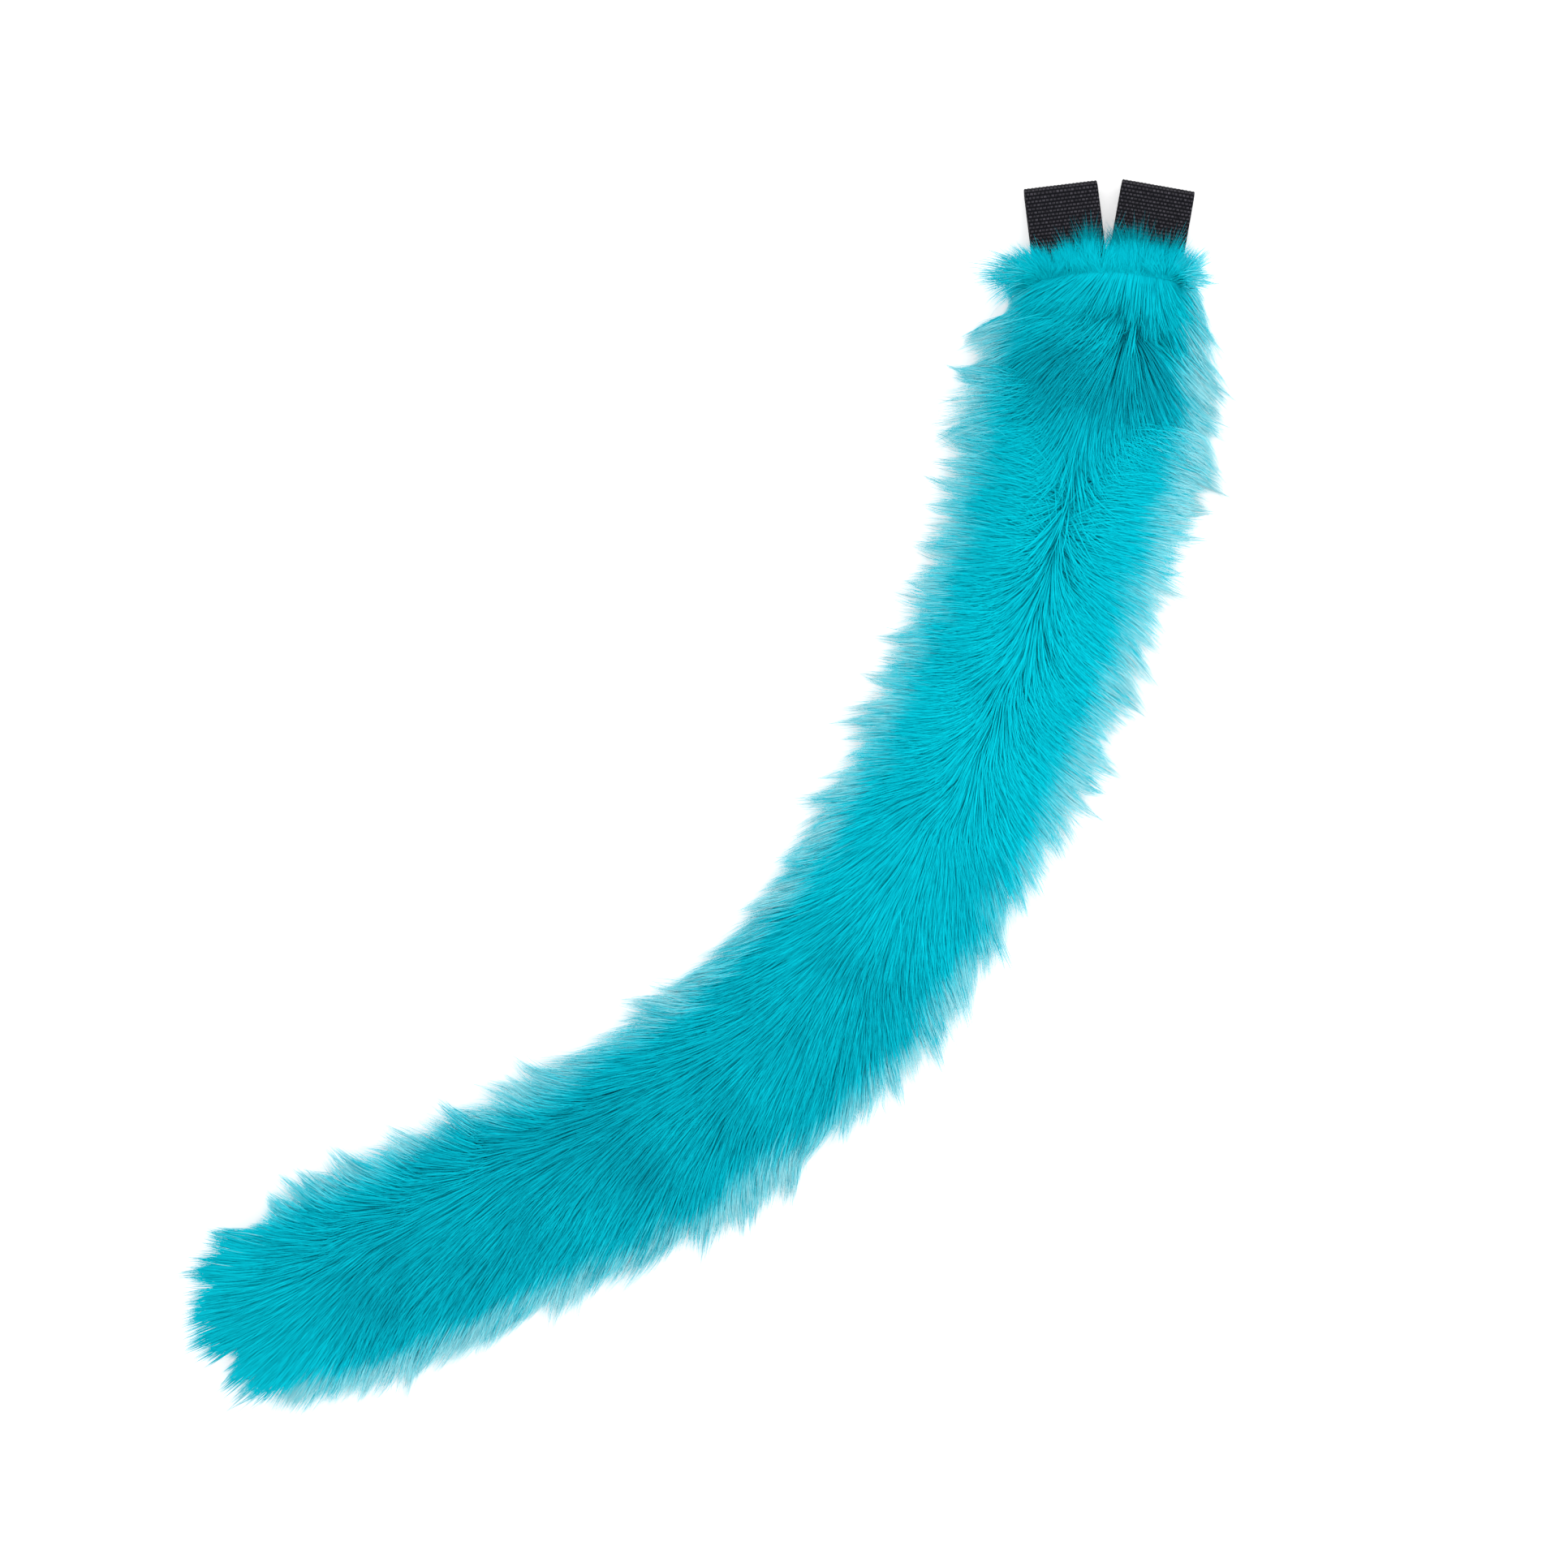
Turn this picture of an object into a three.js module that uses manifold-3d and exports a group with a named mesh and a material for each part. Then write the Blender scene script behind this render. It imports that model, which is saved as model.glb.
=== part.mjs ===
// A long-pile fur costume tail, lying on a table, with two folded webbing belt loops sewn into its top seam.
// Millimetres, +Z up. The table is the plane Z = 0, and the tail curves in the XY plane.
// The sleeve with its dense coat is one body with the locks of fur that stand out of it.

import * as THREE from "three";
import { mergeVertices } from "three/addons/utils/BufferGeometryUtils.js";
import Module from "manifold-3d";

const wasm = await Module();
wasm.setup();

// The sleeve with its dense coat
const BODY_LENGTH = 640; // along its curve, from the top seam to the tip
const BODY_WIDTH = 82;
const BODY_HEIGHT = 36;
const PRESSED_PILE = 4; // height of the coat that the tail's weight squashes flat
const SEAM_HEIGHT = 18; // of the body where the top seam closes it
const SEAM_MARGIN = 2.2; // from the belt loops' outer edges to the ends of the seam
const SEAM_SHARE = 0.09; // of the tail's length, over which it widens from the seam

// The locks
const PILE = 36; // length of a lock
const COAT_WIDTH = 106; // over the tips of the locks, from side to side
const COAT_HEIGHT = 40;
const LOCK_WIDTH = 15;
const LOCK_THICKNESS = 8;
const ROOT_DEPTH = 5; // of a lock's root under the coat
const LOWEST_TIP = 1.2; // of a lock over the table
const FRINGE_REACH = 16; // how far the fur of the top seam lies over the belt loops
const FRINGE_ROOT = 14; // from the top seam down to where that fur grows
const FRINGE_ARCH = 9; // height of its bend over the loops

// The belt loops
const WEBBING_WIDTH = 32;
const WEBBING_THICKNESS = 1.6;
const LOOP_LENGTH = 41; // from the top seam to the outside of the fold
const BELT_GAP = 6.4; // clear height inside the loop
const LOOP_MOUTH = 12; // length over which the two layers part from each other
const TAB_LENGTH = 9; // sewn into the seam
const LOOPS_MEET = 1.3; // of the webbing's width that each pair of edges would share at the seam
const LOOPS_OFFSET = 1; // of the pair to the right of the seam's middle
const LEFT_SPLAY = 7; // degrees off the seam's own square
const RIGHT_SPLAY = -10;
const CLEARANCE = 0.3; // between a loop and whatever lies against it

const loopsApart = WEBBING_WIDTH - LOOPS_MEET; // between the loops' middle lines where they leave the seam
const seamHalfHeight = BELT_GAP / 2 + WEBBING_THICKNESS; // the loops lie on the table, so their seam is this high
const seamHalfWidth = LOOPS_OFFSET + loopsApart / 2 + WEBBING_WIDTH / 2 + SEAM_MARGIN;

const degrees = THREE.MathUtils.degToRad;
const mix = THREE.MathUtils.lerp;
const UP = new THREE.Vector3(0, 0, 1);

// How the tail changes along its length. heading is the way it points, in degrees from +X.
// width and height are shares of the body's own, coat is the share of the whole coat's width.
// parting is the place of the hair's parting, as a share of the half width, positive to the outside of the curve.
// inner and outer are how far the fur leans towards the tip on the two sides, in degrees.
const STATIONS = [
  { along: 0.0, heading: -100, width: 0.86, height: 0.6, coat: 1.02, parting: 0, inner: 26, outer: 24 },
  { along: 0.04, heading: -99.7, width: 0.9, height: 0.72, coat: 1.06, parting: 0, inner: 22, outer: 32 },
  { along: 0.1, heading: -99.5, width: 1.14, height: 0.94, coat: 1.22, parting: 0, inner: 15, outer: 30 },
  { along: 0.175, heading: -105.3, width: 1.07, height: 1.0, coat: 1.12, parting: 0, inner: 18, outer: 12 },
  { along: 0.26, heading: -111, width: 1.03, height: 1.0, coat: 1.06, parting: 0, inner: 30, outer: 18 },
  { along: 0.36, heading: -115.5, width: 1.0, height: 1.0, coat: 1.03, parting: -0.03, inner: 40, outer: 34 },
  { along: 0.425, heading: -120, width: 1.0, height: 1.0, coat: 1.02, parting: -0.06, inner: 44, outer: 42 },
  { along: 0.54, heading: -132.5, width: 0.97, height: 1.0, coat: 1.0, parting: -0.14, inner: 54, outer: 46 },
  { along: 0.61, heading: -144, width: 0.98, height: 1.0, coat: 1.01, parting: -0.2, inner: 54, outer: 42 },
  { along: 0.745, heading: -154.5, width: 1.0, height: 1.0, coat: 1.0, parting: -0.38, inner: 32, outer: 46 },
  { along: 0.86, heading: -156, width: 1.01, height: 1.0, coat: 1.01, parting: -0.4, inner: 10, outer: 44 },
  { along: 0.93, heading: -163, width: 0.92, height: 0.9, coat: 0.95, parting: -0.2, inner: 22, outer: 34 },
  { along: 0.97, heading: -167, width: 0.66, height: 0.72, coat: 0.78, parting: -0.1, inner: 40, outer: 34 },
  { along: 1.0, heading: -169, width: 0.24, height: 0.4, coat: 0.5, parting: 0, inner: 50, outer: 40 },
];

// One column of STATIONS at a place along the tail.
function at(column, along) {
  const k = STATIONS.findIndex((station, i) => i > 0 && along <= station.along);
  const [low, high] = k < 0 ? STATIONS.slice(-2) : [STATIONS[k - 1], STATIONS[k]];
  return THREE.MathUtils.mapLinear(along, low.along, high.along, low[column], high[column]);
}

// The tail's middle line, walked from the seam to the tip.
const SPINE_STEPS = 120;
const spine = [new THREE.Vector3()];
for (let i = 0; i < SPINE_STEPS; i++) {
  const heading = degrees(at("heading", (i + 0.5) / SPINE_STEPS));
  const step = new THREE.Vector3(Math.cos(heading), Math.sin(heading), 0);
  spine.push(step.multiplyScalar(BODY_LENGTH / SPINE_STEPS).add(spine[i]));
}

// The middle line's point and directions at a place along it: ahead to the tip, side to the outside of the curve.
function station(along) {
  const place = THREE.MathUtils.clamp(along, 0, 1) * SPINE_STEPS;
  const i = Math.min(Math.floor(place), SPINE_STEPS - 1);
  const ahead = spine[i + 1].clone().sub(spine[i]).normalize();
  const point = spine[i].clone().lerp(spine[i + 1], place - i);
  return { point, ahead, side: new THREE.Vector3().crossVectors(UP, ahead) };
}

// The body's half width and height, which start from the seam's.
function bodySection(along) {
  const open = THREE.MathUtils.smoothstep(along, 0, SEAM_SHARE);
  const halfWidth = mix(seamHalfWidth, (BODY_WIDTH / 2) * at("width", along), open);
  const height = mix(SEAM_HEIGHT, BODY_HEIGHT * at("height", along), open);
  return { halfWidth, height };
}

// A point on the coat: across is the distance from the middle line, and height how high it lies.
function coatPoint(along, across, height) {
  const { point, side } = station(along);
  return point.addScaledVector(side, across).setZ(height);
}

// The height of the top of the locks at a distance from the middle line.
function coatHeight(along, across) {
  const reach = (COAT_WIDTH / 2) * at("coat", along);
  const share = Math.min(Math.abs(across) / reach, 1);
  return (COAT_HEIGHT / BODY_HEIGHT) * bodySection(along).height * Math.sqrt(1 - share ** 2.3);
}

// A repeatable number from 0 to 1 for the uneven lengths and places of the locks.
const SHUFFLE = 4; // another value gives another arrangement
function chance(seed) {
  const x = Math.sin((seed + SHUFFLE) * 12.9898) * 43758.5453;
  return x - Math.floor(x);
}

function solid(geometry) {
  const bare = geometry.clone();
  bare.deleteAttribute("normal");
  bare.deleteAttribute("uv");
  const merged = mergeVertices(bare, 1e-4);
  const vertProperties = new Float32Array(merged.attributes.position.array);
  const triVerts = new Uint32Array(merged.index.array);
  return new wasm.Manifold(new wasm.Mesh({ numProp: 3, vertProperties, triVerts }));
}

function geometryOf(made) {
  const mesh = made.getMesh();
  const geometry = new THREE.BufferGeometry();
  geometry.setAttribute("position", new THREE.BufferAttribute(mesh.vertProperties, 3));
  geometry.setIndex(new THREE.BufferAttribute(mesh.triVerts, 1));
  geometry.computeVertexNormals();
  return geometry;
}

// The largest of a geometry's closed shells, so that the small hollows that crossing locks close are filled.
function outerShell(geometry) {
  const index = geometry.index.array;
  const shell = Array.from({ length: geometry.attributes.position.count }, (_, i) => i);
  const find = (i) => {
    while (shell[i] !== i) i = shell[i] = shell[shell[i]];
    return i;
  };
  for (let t = 0; t < index.length; t += 3) {
    shell[find(index[t])] = find(index[t + 1]);
    shell[find(index[t + 1])] = find(index[t + 2]);
  }
  const corners = new Map();
  for (const corner of index) {
    const key = find(corner);
    if (!corners.has(key)) corners.set(key, []);
    corners.get(key).push(corner);
  }
  const [largest] = [...corners.values()].sort((a, b) => b.length - a.length);
  const kept = geometry.clone();
  kept.setIndex(largest);
  return kept;
}

// Joins many solids in pairs, then the pairs, which is quicker than one after the other.
function joined(solids) {
  while (solids.length > 1) {
    const pairs = [];
    for (let i = 0; i < solids.length; i += 2) {
      pairs.push(i + 1 < solids.length ? solids[i].add(solids[i + 1]) : solids[i]);
    }
    solids = pairs;
  }
  return solids[0];
}

// The sleeve with its dense coat: a cylinder whose rings take the places and sections of the stations.
const AROUND = 14;
const RINGS = 30;

function body() {
  const geometry = new THREE.CylinderGeometry(1, 1, 1, AROUND, RINGS);
  const places = geometry.attributes.position;
  for (let i = 0; i < places.count; i++) {
    const share = 0.5 - places.getY(i);
    const along = mix(share, (1 - Math.cos(Math.PI * share)) / 2, 0.6); // rings closer together at both ends
    const { halfWidth, height } = bodySection(along);
    const middle = (height - PRESSED_PILE) / 2;
    const point = coatPoint(along, halfWidth * places.getX(i), middle + (height - middle) * places.getZ(i));
    places.setXYZ(i, point.x, point.y, point.z);
  }
  return solid(geometry);
}

// A lock of fur: a three-sided cone bent along root, over and tip.
const LOCK_STEPS = 3;

function lock(root, over, tip, width, thickness) {
  const geometry = new THREE.ConeGeometry(1, 1, 3, LOCK_STEPS);
  const path = new THREE.QuadraticBezierCurve3(root, over, tip);
  const places = geometry.attributes.position;
  for (let i = 0; i < places.count; i++) {
    const h = places.getY(i) + 0.5;
    const ahead = path.getTangent(h);
    const across = new THREE.Vector3().crossVectors(ahead, UP);
    if (across.lengthSq() < 1e-6) across.set(1, 0, 0);
    across.normalize();
    const outward = new THREE.Vector3().crossVectors(across, ahead);
    const fuller = h < 0.4 ? 1 : 1.25; // keeps the lock broad until its last third
    const point = path
      .getPoint(h)
      .addScaledVector(across, (places.getX(i) * fuller * width) / 2)
      .addScaledVector(outward, (places.getZ(i) * fuller * thickness) / 2);
    places.setXYZ(i, point.x, point.y, point.z);
  }
  return solid(geometry);
}

// Rows of locks on each side: from is a root's place as a share of the body's half width,
// pitch is the distance from lock to lock, lift is how far a tip stands off the coat.
const LOCK_ROWS = [
  { from: 0.1, pitch: 29, length: 1.0, size: 1.3, lift: 1.5 },
  { from: 0.48, pitch: 25, length: 0.95, size: 1.2, lift: 1.5 },
  { from: 0.84, pitch: 17, length: 0.85, size: 1.1, lift: 2 },
];

function sideLocks() {
  const locks = [];
  for (const outside of [1, -1]) {
    LOCK_ROWS.forEach((row, r) => {
      const count = Math.round((0.95 * BODY_LENGTH) / row.pitch);
      for (let i = 0; i < count; i++) {
        const seed = 1 + i * 7.31 + r * 131.7 + (outside + 1) * 523.1;
        const along = 0.02 + (0.95 * (i + 0.5 * (r % 2) + 0.4 * chance(seed))) / count;
        locks.push(sideLock(along, outside, row, seed));
      }
    });
  }
  return locks;
}

// One lock of the coat: it starts under the coat, follows it outwards and towards the tip, and ends on or past it.
function sideLock(along, outside, row, seed) {
  const { halfWidth } = bodySection(along);
  const reach = (COAT_WIDTH / 2) * at("coat", along) * mix(0.92, 1.05, chance(seed + 2));
  const lean = degrees(at(outside > 0 ? "outer" : "inner", along) + 14 * (chance(seed + 3) - 0.5));
  const length = PILE * row.length * mix(0.85, 1.15, chance(seed + 1));
  const from = mix(halfWidth * at("parting", along), outside * halfWidth, row.from);
  const wide = outside * from + length * Math.cos(lean);
  const to = outside * Math.min(wide, reach);
  const forward = (length * Math.sin(lean) + 0.4 * Math.max(wide - reach, 0)) / BODY_LENGTH;
  const root = coatPoint(along, from, Math.max(coatHeight(along, from) - ROOT_DEPTH, 5));
  const over = coatPoint(along + forward / 2, (from + to) / 2, coatHeight(along, (from + to) / 2) + 2 * row.lift);
  const drop = Math.max(coatHeight(along + forward, to) - LOCK_THICKNESS / 3, LOWEST_TIP);
  const tip = coatPoint(along + forward, to, drop + row.lift * chance(seed + 4));
  return lock(root, over, tip, LOCK_WIDTH * row.size, LOCK_THICKNESS * row.size);
}

// The fan of locks round the tip, in tiers from the table up.
const TIP_TIERS = [
  { count: 8, height: 5, start: 0.955, length: 1.0 },
  { count: 5, height: 14, start: 0.94, length: 1.05 },
];

function tipLocks() {
  const locks = [];
  for (const [t, tier] of TIP_TIERS.entries()) {
    const { point, ahead, side } = station(tier.start);
    for (let i = 0; i < tier.count; i++) {
      const seed = 900 + t * 50 + i * 3.7;
      const turn = degrees(mix(-62, 62, (i + 0.5) / tier.count) + 8 * (chance(seed) - 0.5));
      const way = ahead.clone().multiplyScalar(Math.cos(turn)).addScaledVector(side, Math.sin(turn));
      const length = PILE * tier.length * mix(1.05, 1.25, chance(seed + 1)) * mix(0.85, 1, Math.cos(turn));
      const root = point.clone().setZ(tier.height);
      const tip = point.clone().addScaledVector(way, length).setZ(LOWEST_TIP + tier.height * 0.3);
      const over = root.clone().lerp(tip, 0.5).addScaledVector(UP, tier.height * 0.4);
      locks.push(lock(root, over, tip, LOCK_WIDTH, LOCK_THICKNESS));
    }
  }
  return locks;
}

// The fur of the top seam, which lies back over the belt loops.
function fringeLocks() {
  const locks = [];
  const { point, ahead, side } = station(0);
  const count = 9;
  const low = 2 * seamHalfHeight + CLEARANCE + LOCK_THICKNESS / 4;
  for (let i = 0; i < count; i++) {
    const seed = 700 + i * 5.3;
    const share = (i + 0.5) / count - 0.5;
    const place = point.clone().addScaledVector(side, share * 2 * seamHalfWidth);
    const way = ahead.clone().negate().addScaledVector(side, 0.6 * share).normalize();
    const reach = FRINGE_REACH * mix(0.8, 1.2, chance(seed));
    const root = place.clone().addScaledVector(ahead, FRINGE_ROOT).setZ(low + 1);
    const over = place.clone().setZ(low + FRINGE_ARCH);
    const tip = place.clone().addScaledVector(way, reach).setZ(low);
    locks.push(lock(root, over, tip, LOCK_WIDTH * 0.8, LOCK_THICKNESS * 0.6));
  }
  return locks;
}

// A belt loop in its own frame: X across the webbing, Y from the seam to the fold, Z through the loop.
// The webbing is folded once, and its two ends lie together in the seam and are sewn there.
function loopGeometry() {
  const inner = BELT_GAP / 2;
  const outer = inner + WEBBING_THICKNESS;
  const foldAt = LOOP_LENGTH - outer;
  const outline = new THREE.Shape();
  outline.moveTo(-TAB_LENGTH, -WEBBING_THICKNESS);
  outline.lineTo(0, -WEBBING_THICKNESS);
  outline.lineTo(LOOP_MOUTH, -outer);
  outline.lineTo(foldAt, -outer);
  outline.absarc(foldAt, 0, outer, -Math.PI / 2, Math.PI / 2, false);
  outline.lineTo(LOOP_MOUTH, outer);
  outline.lineTo(0, WEBBING_THICKNESS);
  outline.lineTo(-TAB_LENGTH, WEBBING_THICKNESS);
  outline.closePath();
  const hole = new THREE.Path();
  hole.moveTo(WEBBING_THICKNESS, 0);
  hole.lineTo(LOOP_MOUTH, inner);
  hole.lineTo(foldAt, inner);
  hole.absarc(foldAt, 0, inner, Math.PI / 2, -Math.PI / 2, true);
  hole.lineTo(LOOP_MOUTH, -inner);
  hole.closePath();
  outline.holes.push(hole);
  const strip = new THREE.ExtrudeGeometry(outline, { depth: WEBBING_WIDTH, bevelEnabled: false, curveSegments: 12 });
  // The outline is drawn in XY and drawn out along Z: it is stood in YZ, and drawn out along X.
  const stand = new THREE.Matrix4().makeBasis(
    new THREE.Vector3(0, 1, 0),
    new THREE.Vector3(0, 0, 1),
    new THREE.Vector3(1, 0, 0),
  );
  return strip.applyMatrix4(stand).translate(-WEBBING_WIDTH / 2, 0, 0);
}

// Where a loop stands: offset is its place along the seam, splay its turn from straight up.
function loopPlace(offset, splay) {
  const place = new THREE.Matrix4().makeRotationZ(degrees(splay));
  return place.setPosition(offset, 0, seamHalfHeight);
}

const LOOPS = [
  { name: "belt_loop_left", offset: LOOPS_OFFSET - loopsApart / 2, splay: LEFT_SPLAY },
  { name: "belt_loop_right", offset: LOOPS_OFFSET + loopsApart / 2, splay: RIGHT_SPLAY },
];

// The far side of the line halfway between the loops, where each one's inner corner is cut off to clear the other.
function beyondMiddle(offset) {
  const size = 2 * WEBBING_WIDTH;
  const far = new THREE.BoxGeometry(size, size, size);
  far.translate(-Math.sign(offset) * (size / 2 - CLEARANCE / 2), 0, 0);
  const [left, right] = LOOPS.map(
    (loop) => loop.offset - (Math.sign(loop.offset) * WEBBING_WIDTH) / 2 / Math.cos(degrees(loop.splay)),
  );
  const place = new THREE.Matrix4().makeRotationZ(degrees((LEFT_SPLAY + RIGHT_SPLAY) / 2));
  return solid(far.applyMatrix4(place.setPosition((left + right) / 2, 0, 0)));
}

// A box round a part of a loop, a clearance wider all round, from one place along it to another.
function roomForLoop({ offset, splay }, from, to, halfHeight) {
  const room = new THREE.BoxGeometry(
    WEBBING_WIDTH + 2 * CLEARANCE,
    to - from + 2 * CLEARANCE,
    2 * (halfHeight + CLEARANCE),
  );
  room.translate(0, (from + to) / 2, 0);
  return solid(room.applyMatrix4(loopPlace(offset, splay)));
}

// The slot that a loop's tab fills, and the space of the loop itself, which the fur only lies against.
function roomsForLoop(place) {
  const tab = roomForLoop(place, -TAB_LENGTH, LOOP_MOUTH, WEBBING_THICKNESS);
  const loop = roomForLoop(place, 0, LOOP_LENGTH, seamHalfHeight);
  return tab.add(loop);
}

// Everything under the table, taken off so that the fur lies flat on it.
function underTable() {
  const far = 3 * BODY_LENGTH;
  return solid(new THREE.BoxGeometry(far, far, PILE).translate(0, 0, -PILE / 2));
}

const furMaterial = new THREE.MeshStandardMaterial({ color: 0x00b4cc, roughness: 0.9, metalness: 0 });
const webbingMaterial = new THREE.MeshStandardMaterial({ color: 0x1b1c20, roughness: 0.75, metalness: 0 });

const tail = new THREE.Group();

const coat = joined([body(), ...sideLocks(), ...tipLocks(), ...fringeLocks()]);
const trimmed = LOOPS.reduce((made, place) => made.subtract(roomsForLoop(place)), coat.subtract(underTable()));
const fur = new THREE.Mesh(outerShell(geometryOf(trimmed)), furMaterial);
fur.name = "fur_tail";
tail.add(fur);

for (const { name, offset, splay } of LOOPS) {
  const whole = solid(loopGeometry().applyMatrix4(loopPlace(offset, splay)));
  const loop = new THREE.Mesh(geometryOf(whole.subtract(beyondMiddle(offset))), webbingMaterial);
  loop.name = name;
  tail.add(loop);
}

// The origin is under the middle of the whole outline.
const outline = new THREE.Box3().setFromObject(tail);
const middle = outline.getCenter(new THREE.Vector3());
tail.position.set(-middle.x, -middle.y, -outline.min.z);

export default tail;
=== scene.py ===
import math

import bmesh
import bpy
import numpy as np
from mathutils import Matrix, Vector
from mathutils.kdtree import KDTree


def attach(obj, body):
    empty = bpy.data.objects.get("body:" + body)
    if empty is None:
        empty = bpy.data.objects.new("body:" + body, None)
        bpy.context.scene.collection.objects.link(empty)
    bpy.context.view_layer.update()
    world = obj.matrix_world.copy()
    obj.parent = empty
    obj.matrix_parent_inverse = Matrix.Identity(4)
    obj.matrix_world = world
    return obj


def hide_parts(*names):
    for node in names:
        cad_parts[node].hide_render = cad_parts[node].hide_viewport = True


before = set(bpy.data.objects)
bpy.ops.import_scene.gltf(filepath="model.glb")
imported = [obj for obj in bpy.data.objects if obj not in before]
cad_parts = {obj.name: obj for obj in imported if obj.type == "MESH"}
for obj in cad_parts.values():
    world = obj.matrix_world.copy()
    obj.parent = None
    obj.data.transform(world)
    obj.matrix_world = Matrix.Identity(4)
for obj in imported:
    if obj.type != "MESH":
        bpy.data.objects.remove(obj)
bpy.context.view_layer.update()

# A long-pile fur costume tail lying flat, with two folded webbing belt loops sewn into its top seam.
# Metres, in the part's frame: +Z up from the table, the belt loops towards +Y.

rng = np.random.default_rng(11)

MM = 0.001

# The tail's curve
SEAM_PLACE = (176.09 * MM, 223.2 * MM)  # middle of the top seam
CURVE_LENGTH = 640 * MM
SLEEVE_END = 0.962  # share of the curve where the sewn sleeve stops, the rest is hair

# The sewn sleeve under the fur
SLEEVE_WIDTH = 60 * MM
SLEEVE_TOP = 27 * MM
SLEEVE_BOTTOM = 2.5 * MM
SEAM_WIDTH = 69 * MM
SEAM_TOP = 9.5 * MM
SEAM_BOTTOM = 1.5 * MM
SEAM_TURN = 10  # degrees by which the seam is turned from square to the curve
SEAM_ARCH = 4 * MM  # how far its middle stands back from its ends

# The fur
HAIR_LENGTH = 37 * MM
COAT_REACH = 53 * MM  # half the width over the hair
COAT_TOP = 41 * MM
HAIR_WIDTH = 0.5 * MM
HAIRS = 116000
FRINGE_HAIRS = 8500
FRINGE_LENGTH = 21 * MM
FRINGE_MARK = -0.001  # the place along the tail that the fringe's hairs are given
FRINGE_TUFTS = 30
ROOTS_TO = 130  # how far round the sleeve hair grows, in degrees from the top
HAIR_STEPS = 4  # straight pieces in a hair
WALK_STEPS = 10  # steps in which its path is worked out
RUN_OUT = 1.06  # how far along the tail a hair's path may run
LOOK_AHEAD = 2 * MM  # the distance over which a path reads the coat's slope
CLIMB_REACH = 12 * MM  # a path this far below its layer of the coat climbs steeply
HAIR_LIFT = 0.75  # how steeply hair leaves the sleeve
SEAM_LIFT_LOSS = 0.4  # and how much less steeply beside the seam
SIDES = (40, 72)  # degrees from the top, between which the top of the coat turns into its sides
TUFT_PITCH = 10 * MM
WISP_PITCH = 2.6 * MM
TUFT_JITTER = 1.3 * MM  # how unevenly hair is shared out among the tufts near it
GUIDE_REACH = 26 * MM  # a placed tuft draws in hair that is rooted this near to its guiding hair
STRAY_REACH = 4 * MM
TABLE_GAP = 0.25 * MM
FUR_TOP = 46 * MM
PARTING_WIDTH = 9 * MM
PARTING_WANDER = 3 * MM
SHARP_PARTING = 0.42  # hair at the parting that points less than this to the tip falls clearly to one side
# Hair at the outline is painted pale: painted light of thin tips lit through from behind
PALE_FROM = 0.76  # share of the coat's reach past which hair is thin and pale
CORE_HEIGHT = -12 * MM  # the hair's faces look away from a line at this height below the tail
SEAM_CORE_DROP = -24 * MM  # and lower still at the flat seam
CORE_END = SLEEVE_END - 0.04  # and the line stops here
OWN_SIDE = 0.17  # how much a hair's faces turn to its own flat side
HAIR_TAPER = 0.8  # how much a hair narrows towards its tip, as a share of its width
COAT_PIECES = ["fur_seam", "fur_upper", "fur_middle", "fur_lower", "fur_end"]

# The swirl beside the right loop, where the coat falls open and its roots show
SWIRL = {"along": 0.041, "angle": 29, "spread": 24}  # angles round the sleeve, in degrees
SWIRL_PLACE = (186.5 * MM, 201.5 * MM)  # hair below this place spreads away from it
SWIRL_REACH = 17 * MM
SWIRL_STRENGTH = 0.85
# The tangled hair below it, darkened by painted shade, as an oval round a place on the tail
TANGLE = {"along": 0.05, "half_length": 0.026, "across": 6 * MM, "half_width": 24 * MM}

# The hair's texture map: where each band starts and how wide it is. A hair's tint places it in its band. The
# two pale bands hold the painted light of thin tips at the outline, lit through from behind.
MAP_BANDS = {"coat": (0.015, 0.68), "half_pale": (0.73, 0.11), "pale": (0.87, 0.11)}
MAP_HAIR = 0.004  # half the width of a hair on the map

# The belt loops
WEBBING_WIDTH = 32 * MM
WEBBING_THICKNESS = 1.6 * MM
LOOP_LENGTH = 41 * MM
BELT_GAP = 6.4 * MM
LOOP_MOUTH = 12 * MM
TAB_LENGTH = 9 * MM
RIBS = 19  # floats across the webbing
ROW_PITCH = 1.6 * MM
FLOAT_SHAPE = 0.55  # a row's height in the weave pattern, a float's length being 1
WEB_FACE = 4 * RIBS  # faces across the outer side of the webbing
WEB_BACK = 10  # and across its inner side
WEB_EDGE = 3  # and round each edge
WEB_AROUND = WEB_FACE + WEB_BACK + 2 * WEB_EDGE
RIB_RELIEF = 0.3 * MM
LOOP_TOP = BELT_GAP + 2 * WEBBING_THICKNESS
EDGE_ROUNDING = 0.6  # how far the webbing's edge bulges, as a share of half its thickness
LOOPS = [
    {"name": "webbing_left", "node": "belt_loop_left", "offset": -14.35 * MM, "splay": 7},
    {"name": "webbing_right", "node": "belt_loop_right", "offset": 16.35 * MM, "splay": -10},
]

# The looks
HAIR_DARK = (0.0, 0.34, 0.45)
HAIR_MIDDLE = (0.0, 0.60, 0.73)
HAIR_LIGHT = (0.0, 0.77, 0.90)
# The pale hair colour is painted light: thin tips lit through from behind against the white table
HAIR_PALE = (0.40, 0.78, 0.84)
WEBBING_GROUND = (0.0045, 0.0048, 0.007)
WEBBING_DULL = (0.012, 0.0115, 0.014)
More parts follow.
